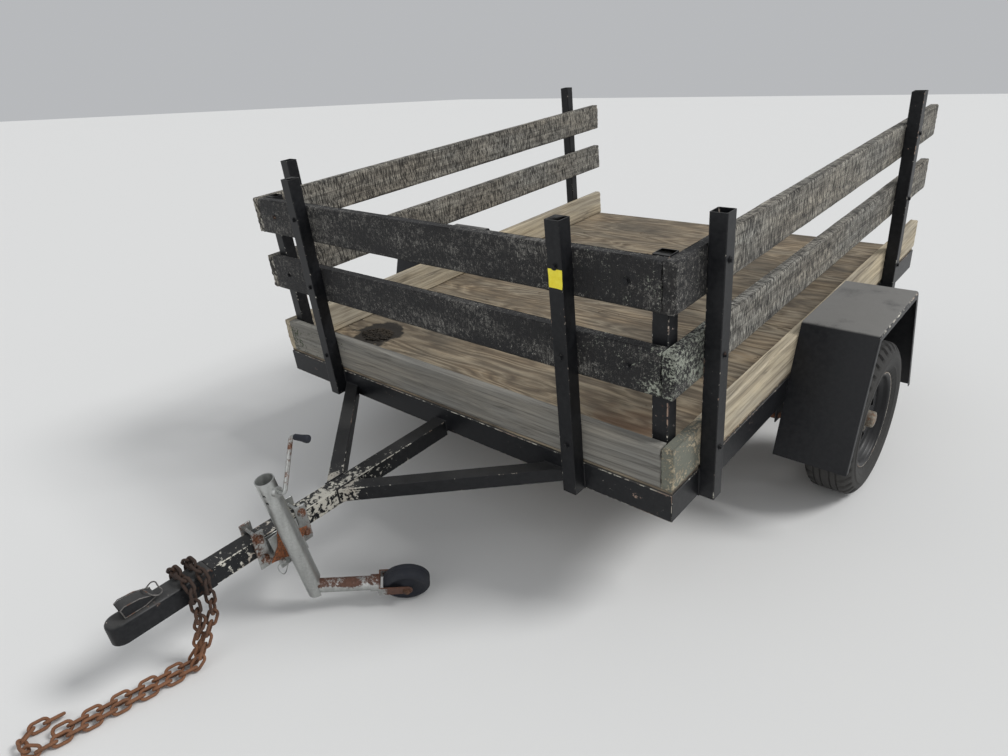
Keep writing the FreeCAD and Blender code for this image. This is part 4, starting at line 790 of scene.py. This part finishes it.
# The hood: flat on top, closed at its flanks, open in front, drawn out into a tongue behind
side_line = [(LATCH_FRONT + 0.004, roof_z + 0.003), (LATCH_FRONT, LATCH_TOP - 0.006),
             (LATCH_FRONT + 0.012, LATCH_TOP), (LATCH_FRONT + 0.052, LATCH_TOP - 0.004),
             (LATCH_BACK, roof_z + 0.017), (LATCH_BACK, roof_z + 0.012),
             (LATCH_FRONT + 0.058, roof_z + 0.003)]
hood = bmesh.new()
left_line, right_line = [[hood.verts.new((x, y, z)) for y, z in side_line]
                         for x in (-LATCH_WIDTH, LATCH_WIDTH)]
strip(hood, left_line[1:5], right_line[1:5])
hood.faces.new(left_line)
hood.faces.new(list(reversed(right_line)))
face_up(hood)
placed_piece("latch_hood", thickened(kept(hood, "latch_hood"), 0.003, 0.004, segments=3), STANCE,
             coupler_paint, "black_paint", "trailer", ["coupler_latch"])


def wire_curve(name, kind, radius, sides, closed=False):
    """A round wire without its line yet: the curve and its empty spline."""
    curve = bpy.data.curves.new(name, "CURVE")
    curve.dimensions = "3D"
    curve.bevel_depth = radius
    curve.bevel_resolution = sides
    curve.use_fill_caps = not closed
    return curve, curve.splines.new(kind)


def bent_wire(name, points, radius, sides=4):
    """A closed loop of round wire along a smooth line."""
    curve, spline = wire_curve(name, "NURBS", radius, sides, True)
    spline.points.add(len(points) - 1)
    for point, place in zip(spline.points, points):
        point.co = (*place, 1)
    spline.use_cyclic_u = True
    spline.use_endpoint_u = False
    spline.order_u = 3
    return baked(set_up(name + "_maker", curve))


# The clip: a wire ring through the tongue, lying over on one side
clip_paint = painted("clip_finish", Paint=(0.16, 0.15, 0.14, 1), Chips=0.1, Wear=0.0, Dust=0.0,
                     Rusting=0.5, Seed=31.0)
clip_line = [(x / 1000, LATCH_BACK + y / 1000, roof_z + z / 1000) for x, y, z in (
    (10, 14, 28), (-12, 18, 32), (-28, 8, 26), (-29, -8, 14), (-16, -20, 30), (6, -20, 39),
    (26, -12, 24), (30, 6, 14), (22, 20, 18))]
placed_piece("latch_clip", bent_wire("latch_clip", clip_line, 0.0019), STANCE, clip_paint,
             "rusty_zinc")
# The hood's flanks end in a rolled edge, rubbed bare
for side, sign in (("right", 1), ("left", -1)):
    rolled_line = [(sign * (LATCH_WIDTH + 0.0002), y, z) for y, z in side_line for _ in range(2)]
    placed_piece("latch_edge_" + side, bent_wire("latch_edge_" + side, rolled_line, 0.0016, 3),
                 STANCE, clip_paint, "black_paint")


# Safety chains: welded round links, rusted through, two lengths hung over the coupler with one
# end trailing on the ground. Each round link takes the place and turn of its plain solid.
rusted, w, given = effect("rusted_through", {
    "Deep": (0.030, 0.017, 0.012, 1), "Bright": (0.19, 0.083, 0.040, 1), "Fresh": 0.5})
broad = w.speckle(given["Place"], 24.0, 4.0, 0.65)
fine = w.speckle(given["Place"], 310.0, 4.0, 0.7)
pits = w.speckle(given["Place"], 900.0, 2.0)
share = w.blend((broad, 0.6), (fine, 0.4), w.ramp(given["Fresh"], 0.0, 1.0, -0.2, 0.2))
tone = w.mix(w.ramp(share, 0.38, 0.66), given["Deep"], given["Bright"])
tone = w.mix(w.both(w.ramp(pits, 0.56, 0.70), given["Fresh"]), tone, (0.36, 0.19, 0.10, 1))
w.add("NodeGroupOutput", {"Color": tone, "Roughness": w.ramp(fine, 0.3, 0.7, 0.78, 0.95),
                          "Height": w.blend((fine, 0.6), (pits, 0.4))})


def rust(name, **values):
    finish, wiring, place = surface(name)
    # Unless a freshness is given, it falls with height: links on the ground get painted sunlight as
    # bright orange rust, hanging links painted shade as dark brown rust
    if "Fresh" not in values:
        height = wiring.add("ShaderNodeSeparateXYZ", {0: place}).outputs["Z"]
        values["Fresh"] = wiring.ramp(height, 0.05, 0.22, 0.85, 0.12)
    wiring.finish(wiring.group(rusted, place, values), 0.0009)
    return finish


link_tree, w, given = maker_tree("chain_links", {
    "Length": 0.0459, "Width": 0.025, "Wire": 0.0046})
loop = w.add("GeometryNodeCurvePrimitiveQuadrilateral", {"Width": given["Length"],
                                                         "Height": given["Width"]})
loop = w.add("GeometryNodeFilletCurve", {"Curve": loop.outputs[0], "Count": 5,
                                         "Radius": w.both(given["Width"], 0.49)}, mode="POLY")
wire = w.add("GeometryNodeCurvePrimitiveCircle", {"Resolution": 10, "Radius": given["Wire"]})
link = w.add("GeometryNodeCurveToMesh", {"Curve": loop.outputs[0],
                                         "Profile Curve": wire.outputs[0]}).outputs[0]
link = w.add("GeometryNodeSetShadeSmooth", {"Geometry": link}).outputs[0]
turn = w.add("GeometryNodeInputNamedAttribute", {"Name": "turn"}, data_type="FLOAT_VECTOR")
turn = w.add("FunctionNodeEulerToRotation", {"Euler": turn.outputs[0]}).outputs[0]
close_tree(w, given, Points=given["Geometry"], Instance=link, Rotation=turn)


def islands(shape):
    """The corners of each separate solid in a working shape."""
    unseen, found = set(shape.verts), []
    while unseen:
        island, waiting = [], [unseen.pop()]
        while waiting:
            vert = waiting.pop()
            island.append(vert.co.copy())
            others = {edge.other_vert(vert) for edge in vert.link_edges} & unseen
            unseen -= others
            waiting += others
        found.append(island)
    return found


def strongest(corners, way, rounds):
    """The direction in which corners spread the most, found from a first guess."""
    for _ in range(rounds):
        way = sum((corner * corner.dot(way) for corner in corners), Vector()).normalized()
    return way


def link_places(node):
    """Middle and turn of each plain link in a chain's node, from its own corners."""
    shape = solid_of(node)
    found = []
    for island in islands(shape):
        middle = sum(island, Vector()) / len(island)
        rest = [corner - middle for corner in island]
        far = max(rest, key=lambda corner: corner.length)
        # The long way from the corners at one end; the flat way is square to all of them
        ends = [corner for corner in rest if corner.dot(far) > 0.72 * far.length_squared]
        long_way = strongest(rest, sum(ends, Vector()).normalized(), 3)
        across = [corner - long_way * corner.dot(long_way) for corner in rest]
        wide = strongest(across, max(across, key=lambda corner: corner.length), 6)
        flat = long_way.cross(wide).normalized()
        found.append((middle, Matrix((long_way, flat.cross(long_way), flat)).transposed()))
    shape.free()
    return found


# The chains' rust is painted lighter on the ground and darker where the links hang: painted
# sunlight and painted shade over the rust
chain_rust = rust("chain_rust")
places_of = {node: link_places(node) for node in ("chain_rear", "chain_front")}
# The front chain goes on from its plain solid's last link, down beside the rear one and along
# the ground next to it
lowest = min((middle for middle, _ in places_of["chain_front"]), key=lambda middle: middle.z)
hanging = min((middle for middle, _ in places_of["chain_rear"]),
              key=lambda middle: abs(middle.z - lowest.z))
STRAND_GAP, FREE_END, GROUND_Z = 0.031, -1.87, 0.02
for middle, way in places_of["chain_rear"]:
    if middle.z < lowest.z - 0.012 and middle.y > FREE_END and middle.x > 0:
        share = (middle.z - GROUND_Z) / (lowest.z - GROUND_Z)
        aside = (lowest - hanging) * share + Vector((-STRAND_GAP, 0.35 * STRAND_GAP, 0)) * (
            1 - share)
        places_of["chain_front"].append((middle + Vector((aside.x, aside.y, 0)), way))
for node, places in places_of.items():
    base = pointed(node + "_places", [middle for middle, _ in places], "turn",
                   [way.to_euler() for _, way in places])
    grown(node + "_links", base, link_tree, {"Finish": chain_rust}, "rusty_steel",
          replaced=[node])


# Axle and springs: a square tube axle on two packs of leaf springs, clamped under it and bolted
# between hanger plates. Black paint long gone in places, mud-dusty and rusty.
under_paint = painted("axle_paint", Chips=0.0, Wear=0.2, Dust=0.4, Rusting=0.5, Seed=37.0)
spring_rust = painted("spring_finish", Chips=0.0, Wear=0.1, Dust=0.3, Rusting=1.0, Seed=41.0)
dress("axle_tube", "axle_beam", 0.003, under_paint)
for node in ("spring_right", "spring_left"):
    dress(node + "_pack", node, 0.0012, spring_rust, "rusty_steel")
dress("hanger_plates", "spring_hangers", 0.0012, under_paint)
AXLE_Y, SPRING_X, SPRING_SPAN, EYE_Z = 1.145, 0.93, 0.66, -(RAIL_DEPTH + 0.056)
CLAMP_X, CLAMP_Y, CLAMP_Z = 0.029, 0.0315, -0.325
hanger_bolts = []
for side in (1, -1):
    for end in (1, -1):
        hanger_bolts += [((side * SPRING_X + flank * 0.028, AXLE_Y + end * SPRING_SPAN / 2, EYE_Z),
                          (flank, 0, 0)) for flank in (1, -1)]
        hanger_bolts += [((side * SPRING_X + flank * CLAMP_X, AXLE_Y + end * CLAMP_Y, CLAMP_Z),
                          (0, 0, -1)) for flank in (1, -1)]
bolted("hanger_bolts", hanger_bolts, rust("bolt_rust", Fresh=0.35), (0.0105, 0.007, 0.0125),
       "rusty_steel")


# Tyres: worn trailer tyres, ribbed in the middle, with lug grooves round the shoulders. Black
# rubber greyed in patches by weather and dust.
def turned_round(name, profile, steps, closed=False, shift=None, skip=None):
    """A shape turned about x from (x, radius) pairs in millimetres; shift moves a point, in
    metres, and skip leaves a gap."""
    shape = bmesh.new()
    rings = []
    for step in range(steps):
        angle = 2 * math.pi * step / steps
        ring = []
        for index, (x, radius) in enumerate(profile):
            if radius == 0 and rings:
                ring.append(rings[0][index])
                continue
            x, radius = x / 1000, radius / 1000
            if shift:
                x, radius = shift(step, x, radius)
            ring.append(shape.verts.new((x, radius * math.sin(angle), radius * math.cos(angle))))
        rings.append(ring)
    for step in range(steps):
        here, there = rings[step], rings[(step + 1) % steps]
        for index in range(len(profile) if closed else len(profile) - 1):
            following = (index + 1) % len(profile)
            if skip and skip(step, index):
                continue
            corners = [here[index], here[following], there[following], there[index]]
            corners = list(dict.fromkeys(corners))
            if len(corners) > 2:
                shape.faces.new(corners).smooth = True
    bmesh.ops.recalc_face_normals(shape, faces=shape.faces)
    mesh = kept(shape, name)
    mesh.set_sharp_from_angle(angle=math.radians(42))
    return mesh


def mirrored(half):
    """The whole section from its right half, which starts at the middle."""
    return [(-x, radius) for x, radius in reversed(half[1:])] + half


def facing_side(sign):
    """The turn that takes a right side's piece to the side of that sign."""
    return Matrix.Identity(4) if sign > 0 else Matrix.Rotation(math.pi, 4, "Z")


rubber, w, given = effect("weathered_rubber", {
    "Black": (0.013, 0.0128, 0.0125, 1), "Grey": (0.042, 0.040, 0.037, 1), "Dust": 0.5})
broad = w.speckle(given["Place"], 6.0, 5.0, 0.65)
fine = w.speckle(given["Place"], 85.0, 5.0, 0.7)
grit = w.speckle(given["Place"], 600.0, 2.0)
share = w.blend((broad, 0.6), (fine, 0.4), w.ramp(given["Dust"], 0.0, 1.0, -0.2, 0.2))
tone = w.mix(w.ramp(share, 0.36, 0.66), given["Black"], given["Grey"])
tone = w.mix(w.ramp(grit, 0.6, 0.75, 0.0, 0.35), tone, given["Grey"])
w.add("NodeGroupOutput", {"Color": tone, "Roughness": w.ramp(share, 0.3, 0.7, 0.72, 0.93),
                          "Height": w.blend((grit, 0.3), (fine, 0.3))})
tyre_rubber, w, place = surface("tyre_rubber_worn")
w.finish(w.group(rubber, place, {"Dust": 0.5}), 0.0006)

LUGS, LUG_STEPS = 38, 8
LUG_INNER, LUG_OUTER, LUG_DEPTH, LUG_SIDE_DEPTH = 0.0445, 0.0865, 0.0078, 0.0034
# Half the tread and sidewall: millimetres from the middle, and drop below the tread
half = [(0, 0), (13, 0), (14.5, 5.5), (18.5, 5.5), (20, 0), (37, 0.4), (38.5, 6), (42.5, 6),
        (44, 0.8), (54, 1.6), (62, 3), (66, 5), (71, 9), (76, 15), (80.5, 21.5), (81.5, 24),
        (85.5, 31), (87.5, 37), (89, 45), (90.5, 54), (92.2, 55.5), (92.5, 62), (91.5, 71),
        (89.5, 80), (86.5, 88), (87, 90.5), (84.5, 94), (81.5, 101), (78, 107.5), (74.5, 112),
        (73.5, 115.6)]
tyre_section = mirrored([(x, 307.4 - drop) for x, drop in half])


def lugged(step, x, radius):
    """Presses the grooves between the shoulder lugs; the rubber is thin there."""
    reach = abs(x)
    if 0.0 < (step % LUG_STEPS) / LUG_STEPS < 0.42 and LUG_INNER < reach < 0.086:
        share = min((reach - LUG_INNER) / 0.008, 1) * min((LUG_OUTER - reach) / 0.006, 1)
        radius -= LUG_DEPTH * share
        x -= math.copysign(LUG_SIDE_DEPTH * share, x) if reach > 0.07 else 0
    return x, radius


wheel_middle = {}
for side, sign in (("right", 1), ("left", -1)):
    low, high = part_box("tyre_" + side)
    wheel_middle[side] = Matrix.Translation((low + high) / 2) @ facing_side(sign)
    carcass = "tyre_" + side + "_carcass"
    placed_piece(carcass, turned_round(carcass, tyre_section, LUGS * LUG_STEPS, True, lugged),
                 wheel_middle[side], tyre_rubber, "tyre_rubber", "road_wheel_" + side,
                 ["tyre_" + side])


# Wheels: rolled rims with a pressed disc, ten hand holes, five nuts and a dust cap, painted a
# grey that has worn to bright and rusty edges; the bright lip is wear and a painted highlight.
def ring_slots(step, index):
    """True where the disc's hand holes are: the band of the disc outside the nuts."""
    return 6 <= index <= 8 and step % 12 in (0, 1, 2, 3, 4)


barrel = [(72.2, 190.8), (71.7, 186.5), (69, 180), (64, 177.2), (54, 176.2), (49, 172),
          (42, 162.5), (36, 159), (-22, 159), (-34, 164), (-48, 174), (-62, 177.2), (-69, 180),
          (-71.7, 186.5), (-72.2, 190.8)]
disc = [(16, 157.5), (28, 157), (35.5, 153.5), (38, 147), (37.6, 140), (36, 132), (33.5, 124),
        (29, 113), (23.5, 99), (20, 88), (19.5, 79), (21.5, 72), (23.5, 68), (24, 46), (26, 43),
        (27.5, 38.5)]
hub = [(-62, 0), (-62, 38.5), (20, 39.5), (33, 38.5), (34.5, 34.5), (43, 33), (70, 32.2),
       (74.5, 30), (77, 24), (77.8, 12), (78, 0)]
NUT_X, NUT_CIRCLE = 0.0245, 0.0570
# Wear is high so that the rim's lip reads pale: worn paint and a painted highlight
rim_paint = painted("rim_paint", Paint=(0.008, 0.008, 0.009, 1), Chips=0.02, Wear=0.95, Dust=0.2,
                    Rusting=0.2, Chip=(0.42, 0.38, 0.32, 1), Seed=47.0)
cap_finish = painted("cap_finish", Paint=(0.26, 0.23, 0.18, 1), Chips=0.2, Wear=0.5, Dust=0.2,
                     Rusting=0.62, Rust=(0.20, 0.10, 0.05, 1), Seed=53.0)


def lip_wear_and_highlight(mesh, inner):
    """Marks the faces beyond a radius as worn, for the painted steel's attribute: the lip's pale
    band there is wear and a painted highlight.
    """
    marks = mesh.attributes.new("arris", "FLOAT_COLOR", "CORNER")
    for loop in mesh.loops:
        corner = mesh.vertices[loop.vertex_index].co
        worn = 1.0 if math.hypot(corner.y, corner.z) > inner else 0.0
        marks.data[loop.index].color = (worn, worn, worn, 1)


nut_angles = [math.radians(18 + 72 * step) for step in range(5)]
nut_places = [((NUT_X, NUT_CIRCLE * math.sin(angle), NUT_CIRCLE * math.cos(angle)), (1, 0, 0))
              for angle in nut_angles]
for side in ("right", "left"):
    body, place, node = "road_wheel_" + side, wheel_middle[side], "wheel_" + side
    rolled = thickened(turned_round("rim_barrel_" + side, barrel, 96), 0.003, offset=1.0)
    lip_wear_and_highlight(rolled, 0.1872)
    pressed = thickened(turned_round("rim_disc_" + side, disc, 120, skip=ring_slots), 0.0035)
    turned_hub = turned_round("hub_" + side, hub, 64)
    for name, mesh, finish, slot in (("rim_barrel_", rolled, rim_paint, "wheel_paint"),
                                     ("rim_disc_", pressed, rim_paint, "wheel_paint"),
                                     ("hub_", turned_hub, cap_finish, "rusty_steel")):
        placed_piece(name + side, mesh, place, finish, slot, body, [node])
    bolted("wheel_nuts_" + side, nut_places, cap_finish, (0.0115, 0.014, 0.0125, 0.003),
           "rusty_steel", body, place)


# Fenders: one 3 mm steel sheet over each wheel, folded down fore and aft, its outer edge turned
# down as a stiffening lip, welded to the side rail. Satin black, dust-grey on top.
# Wear is high so that the outer fold's pale chips make a painted highlight along it, over rubbed
# paint
fender_paint = painted("fender_paint", Paint=(0.006, 0.0065, 0.0085, 1), Chips=-0.3, Wear=0.62,
                       Dust=1.5, Rusting=0.02, Seed=59.0)
FENDER_OUT, FENDER_TOP, FENDER_FLAT, FENDER_FOOT, FENDER_LOW = 0.261, 0.192, 0.464, 0.790, 0.282
LIP, GAUGE, FOLD_RADIUS = 0.026, 0.003, 0.0075


def outer_fold_wear_and_highlight(face):
    """The paint is rubbed through at the top of the outer fold, a pale line that is also a painted
    highlight, and whole at the others.
    """
    middle = face.calc_center_median()
    return 1.0 if middle.z > FENDER_TOP - 0.01 and middle.x > FENDER_OUT - 0.02 else 0.1


fold = [Vector((-FENDER_FOOT / 2, -FENDER_LOW)), Vector((-FENDER_FLAT / 2, FENDER_TOP)),
        Vector((FENDER_FLAT / 2, FENDER_TOP)), Vector((FENDER_FOOT / 2, -FENDER_LOW))]
ways = [(second - first).normalized() for first, second in zip(fold, fold[1:])]
inward = [Vector((way.y, -way.x)) for way in ways]
for side, sign in (("right", 1), ("left", -1)):
    sheet = bmesh.new()
    inner_row, outer_row, lip_row = [], [], []
    for index, corner in enumerate(fold):
        normals = inward[max(index - 1, 0):index + 1]
        drop = sum(normals, Vector((0, 0))).normalized()
        drop = drop * (LIP / drop.dot(normals[0]))
        if index in (0, 3):
            # The lip's end follows the sheet's lower edge
            drop = Vector((math.copysign(abs(drop.x) + abs(drop.y) * 0.25, -corner.x), 0))
        inner_row.append(sheet.verts.new((0.0005, *corner)))
        outer_row.append(sheet.verts.new((FENDER_OUT, *corner)))
        lip_row.append(sheet.verts.new((FENDER_OUT, *(corner + drop))))
    for first, second in ((0, 2), (1, 3), (2, 4)):
        strip(sheet, inner_row[first:second], outer_row[first:second])
        strip(sheet, outer_row[first:second], lip_row[first:second])
    face_up(sheet)
    folds = [edge for edge in sheet.edges if edge.is_manifold]
    rounded(sheet, folds, FOLD_RADIUS, 4, outer_fold_wear_and_highlight)
    name = "fender_sheet_" + side
    beside = STANCE @ Matrix.Translation((sign * BED_WIDTH / 2, AXLE_Y, 0)) @ facing_side(sign)
    placed_piece(name, thickened(kept(sheet, name), GAUGE), beside, fender_paint, "black_paint",
                 "trailer", ["fender_" + side])


# Swivel jack: galvanized outer tube on a clamped bracket. The inner leg is bent sharply back at
# the tube's torn foot; its upper side has rusted, its lower side is still grey.
zinc, w, given = effect("galvanized", {
    "Bright": (0.47, 0.48, 0.465, 1), "Dull": (0.33, 0.335, 0.325, 1),
    "Rust": (0.20, 0.075, 0.032, 1), "Rusting": 0.3, "Upward": 0.0, "Seed": 0.0},
    ("Roughness", "Metallic", "Height"))
place = w.seeded(given)
spangle = w.add("ShaderNodeTexVoronoi", {"Vector": place, "Scale": 170.0}).outputs["Color"]
spangle = w.add("ShaderNodeSeparateXYZ", {0: spangle}).outputs["X"]
broad = w.speckle(place, 14.0, 5.0, 0.65)
fine = w.speckle(place, 130.0, 4.0, 0.7)
runs = w.grain(place, (60, 60, 9))
tone = w.mix(w.ramp(w.blend((spangle, 0.15), (runs, 0.85)), 0.3, 0.7), given["Dull"],
             given["Bright"])
above = w.both(w.ramp(w.upward(), 0.05, 0.4), given["Upward"])
urge = w.blend((broad, 0.6), (fine, 0.4), w.ramp(given["Rusting"], 0.0, 1.0, -0.18, 0.2),
               (above, 0.16))
rusting = w.ramp(urge, 0.52, 0.60)
brown = w.mix(w.ramp(fine, 0.4, 0.65), given["Rust"], (0.07, 0.032, 0.02, 1))
w.add("NodeGroupOutput", {
    "Color": w.mix(rusting, tone, brown), "Metallic": w.ramp(rusting, 0.0, 1.0, 0.85, 0.0),
    "Roughness": w.blend(w.ramp(runs, 0.3, 0.7, 0.28, 0.42), (rusting, 0.35)),
    "Height": w.blend((fine, 0.08), (rusting, 0.5))})


def galvanized(name, rusty_spot=None, **values):
    """Galvanized steel. A rusty spot is a place and the distances over which its rust fades."""
    finish, wiring, place = surface(name)
    if rusty_spot:
        spot, near, far = rusty_spot
        values["Rusting"] = wiring.ramp(wiring.away(place, spot), near, far, 1.0,
                                        values["Rusting"])
    wiring.finish(wiring.group(zinc, place, values), 0.0003)
    return finish


tube_zinc = galvanized("jack_tube_zinc", Rusting=0.10, Seed=2.0)
bracket_zinc = galvanized("bracket_zinc", Rusting=0.52, Seed=5.0)
foot = next(joint for joint in frame["record"]["behaviour"]["joints"]
            if joint["name"] == "jack_foot_turn")
leg_zinc = galvanized("leg_zinc", (Vector(foot["pos_m"]), 0.055, 0.10), Rusting=0.3, Upward=1.0,
                      Seed=7.0, Rust=(0.11, 0.047, 0.028, 1))
JACK_Y = -0.720
JACK = STANCE @ Matrix.Translation((0.107, JACK_Y, -0.110)) @ Matrix.Rotation(
    math.radians(6.8), 4, "X")


def drilled(mesh, holes):
    """Cuts round holes, each a place, a direction and a radius, with the modifiers applied."""
    maker = set_up("drilled_maker", mesh)
    drills = []
    for middle, way, radius in holes:
        drill = bmesh.new()
        turn = way.to_track_quat("Z", "Y").to_matrix().to_4x4()
        bmesh.ops.create_cone(drill, cap_ends=True, segments=24, radius1=radius, radius2=radius,
                              depth=0.02, matrix=Matrix.Translation(middle) @ turn)
        drills.append(set_up("drill", kept(drill, "drill")))
        cutter = maker.modifiers.new("hole", "BOOLEAN")
        cutter.object = drills[-1]
        cutter.operation = "DIFFERENCE"
    return baked(maker, *drills)


facing_out = Vector((math.cos(math.radians(-62)), math.sin(math.radians(-62)), 0))
holes = [(JACK @ (facing_out * 0.027 + Vector((0, 0, height))), JACK.to_3x3() @ facing_out, 0.0048)
         for height in (0.245, 0.218)]
add_piece("jack_tube", drilled(softened("jack_outer_tube", 0.0009), holes), tube_zinc,
          "zinc_steel", "jack", ["jack_outer_tube"])
dress("jack_bracket", "jack_mount", 0.0012, bracket_zinc, "rusty_zinc")
dress("jack_bent_leg", "jack_leg", 0.0012, leg_zinc, "rusty_zinc", "jack")

# Locking plate: a four-pointed plate behind the tube, orange with rust, and the plunger that
# drops into it, with its wire pull ring
star = bmesh.new()
star_rim = []
for step in range(8):
    reach = 0.074 if step % 2 == 0 else 0.040
    angle = math.radians(45 * step + 12)
    star_rim.append(star.verts.new((-0.0440, reach * math.cos(angle), reach * math.sin(angle))))
star.faces.new(star_rim)
plate_rust = galvanized("locking_plate_rust", Rusting=0.95, Rust=(0.34, 0.115, 0.04, 1), Seed=9.0)
placed_piece("locking_plate", thickened(kept(star, "locking_plate"), 0.003, 0.0, 0.0), JACK,
             plate_rust, "rusty_steel", "jack")
plunger_line = [(0, 0), (0, 6.5), (14, 6.5), (15.5, 4.8), (19, 4.5), (20, 3), (20, 0)]
placed_piece("plunger", turned_round("plunger", plunger_line, 24),
             JACK @ Matrix.Translation((-0.0425, -0.040, -0.028)), bracket_zinc, "rusty_zinc",
             "jack")
ring_steps = [math.radians(30 * step) for step in range(12)]
ring_line = [(-0.028 + 0.006 * math.sin(angle * 2), -0.052 + 0.016 * math.cos(angle),
              -0.046 + 0.020 * math.sin(angle)) for angle in ring_steps]
placed_piece("pull_ring", bent_wire("pull_ring", ring_line, 0.0015), JACK, tube_zinc,
             "zinc_steel", "jack")

# Clamp nuts: threads stand out of a nut and washer at both sides of each clamp bar
nut_places = [((side * 0.0402, JACK_Y + end * 0.075, -0.085 + level * 0.037), (side, 0, 0))
              for side in (1, -1) for end in (1, -1) for level in (1, -1)]
nut_rust = galvanized("nut_finish", Rusting=0.75, Seed=15.0)
bolted("clamp_nuts", nut_places, nut_rust, (0.0117, 0.0078, 0.0142, 0.0022), "rusty_zinc")
thread_line = [(0, 0)]
for turn in range(9):
    thread_line += [(1.7 * turn, 5.2), (1.7 * turn + 0.85, 5.9)]
thread_line += [(15.8, 4.8), (15.8, 0)]
for index, (spot, way) in enumerate(nut_places):
    if way[0] < 0 or spot[1] < JACK_Y:
        outward = STANCE @ Matrix.Translation(spot) @ facing_side(way[0])
        placed_piece(f"thread_{index}", turned_round(f"thread_{index}", thread_line, 18),
                     outward @ Matrix.Translation((0.0075, 0, 0)), nut_rust, "rusty_zinc")

# Crank: a bent rod with a dark plastic grip on its end
CRANK = JACK @ Matrix.Translation((0, 0, 0.245)) @ Matrix.Rotation(math.radians(16), 4, "Z")
ARM, SWING, BEND = 0.162, math.radians(37), 0.012
corner = Vector((0.060, 0, 0))
end = corner + Vector((0, ARM * math.sin(SWING), ARM * math.cos(SWING)))
arm_way = (end - corner).normalized()
rod_line, spline = wire_curve("crank_rod", "BEZIER", 0.0066, 5)
points = [Vector((0.0376, 0, 0)), corner - Vector((BEND, 0, 0)), corner + arm_way * BEND,
          end - arm_way * BEND, end + Vector((BEND, 0, 0)), end + Vector((0.022, 0, 0))]
spline.bezier_points.add(len(points) - 1)
for index, (point, place) in enumerate(zip(spline.bezier_points, points)):
    before = points[max(index - 1, 0)]
    after = points[min(index + 1, len(points) - 1)]
    nearest = corner if index < 3 else end
    point.co = place
    point.handle_left = place.lerp(nearest, 0.6) if index in (2, 4) else place.lerp(before, 0.3)
    point.handle_right = place.lerp(nearest, 0.6) if index in (1, 3) else place.lerp(after, 0.3)
placed_piece("crank_rod", baked(set_up("crank_rod_maker", rod_line)), CRANK,
             galvanized("crank_zinc", Rusting=0.5, Seed=12.0), "zinc_steel", "jack",
             ["jack_crank"])
grip_line = [(0, 0), (0, 7.8), (2, 8.8), (16, 9.2), (30, 10.2), (40, 11.6), (45.5, 12),
             (50, 11.2), (52.2, 8.5), (52.8, 4), (52.8, 0)]
plastic, w, place = surface("dark_plastic")
w.finish(w.group(rubber, place, {"Dust": 0.18, "Black": (0.013, 0.015, 0.022, 1),
                                 "Grey": (0.032, 0.033, 0.037, 1)}), 0.0003)
plastic.node_tree.nodes["Principled BSDF"].inputs["Specular IOR Level"].default_value = 0.35
placed_piece("crank_grip", turned_round("crank_grip", grip_line, 40),
             CRANK @ Matrix.Translation(end + Vector((0.0132, 0, 0))), plastic, "jockey_plastic",
             "jack", ["jack_crank"])

# Jockey wheel: moulded black plastic, worn round, turning on a bolt in its fork
FOOT = Matrix.Translation(foot["pos_m"]) @ Vector(foot["axis"]).to_track_quat(
    "X", "Z").to_matrix().to_4x4()
jockey_half = [(0, 73.5), (1.5, 73.5), (2.5, 74.6), (12, 74.9), (16.5, 74.2), (20.5, 70.5),
               (23.5, 66), (24.8, 61.5), (24.5, 58), (21.5, 56), (19, 52), (15.5, 40), (15, 33),
               (17, 26), (23, 20), (27.5, 15.5), (27.9, 7.5), (27, 6.6)]
placed_piece("jockey_moulding", turned_round("jockey_moulding", mirrored(jockey_half), 90, True),
             FOOT, plastic, "jockey_plastic", "jack_foot", ["jockey_wheel"])
bolted("fork_bolt", [((0.0352 * way, 0, 0), (way, 0, 0)) for way in (1, -1)],
       rust("fork_bolt_rust", Fresh=0.4), (0.0105, 0.006, 0.0135), "rusty_steel", "jack", FOOT)


# Lot tag: a blank yellow plastic-coated card stuck to the front right stake, curled at one corner
tag = bmesh.new()
TAG_LOW, TAG_HIGH = (0.6155, 0.594), (0.6625, 0.648)
TAG_COLUMNS, TAG_LINES = 14, 16
grid = []
for row in range(TAG_LINES + 1):
    line = []
    for column in range(TAG_COLUMNS + 1):
        across, up = column / TAG_COLUMNS, row / TAG_LINES
        curl = max(0.0, across + (1 - up) - 1.45) ** 2 * 0.012
        bow = 0.0006 + 0.0005 * math.sin(up * 9 + across * 3)
        line.append(tag.verts.new((TAG_LOW[0] + across * (TAG_HIGH[0] - TAG_LOW[0]),
                                   -STAKE - bow - curl,
                                   TAG_LOW[1] + up * (TAG_HIGH[1] - TAG_LOW[1]))))
    grid.append(line)
for lower, upper in zip(grid, grid[1:]):
    strip(tag, upper, lower)
tag_card, w, place = surface("yellow_card")
shade = w.speckle(place, 60.0)
card_colour = w.mix(w.ramp(shade, 0.35, 0.75), (0.80, 0.66, 0.02, 1), (0.88, 0.78, 0.07, 1))
w.finish({"Color": card_colour, "Roughness": w.ramp(shade, 0.3, 0.7, 0.45, 0.6),
          "Height": shade}, 0.0006, 0.3)
placed_piece("lot_tag", thickened(kept(tag, "lot_tag"), 0.0004), STANCE, tag_card,
             "painted_board")
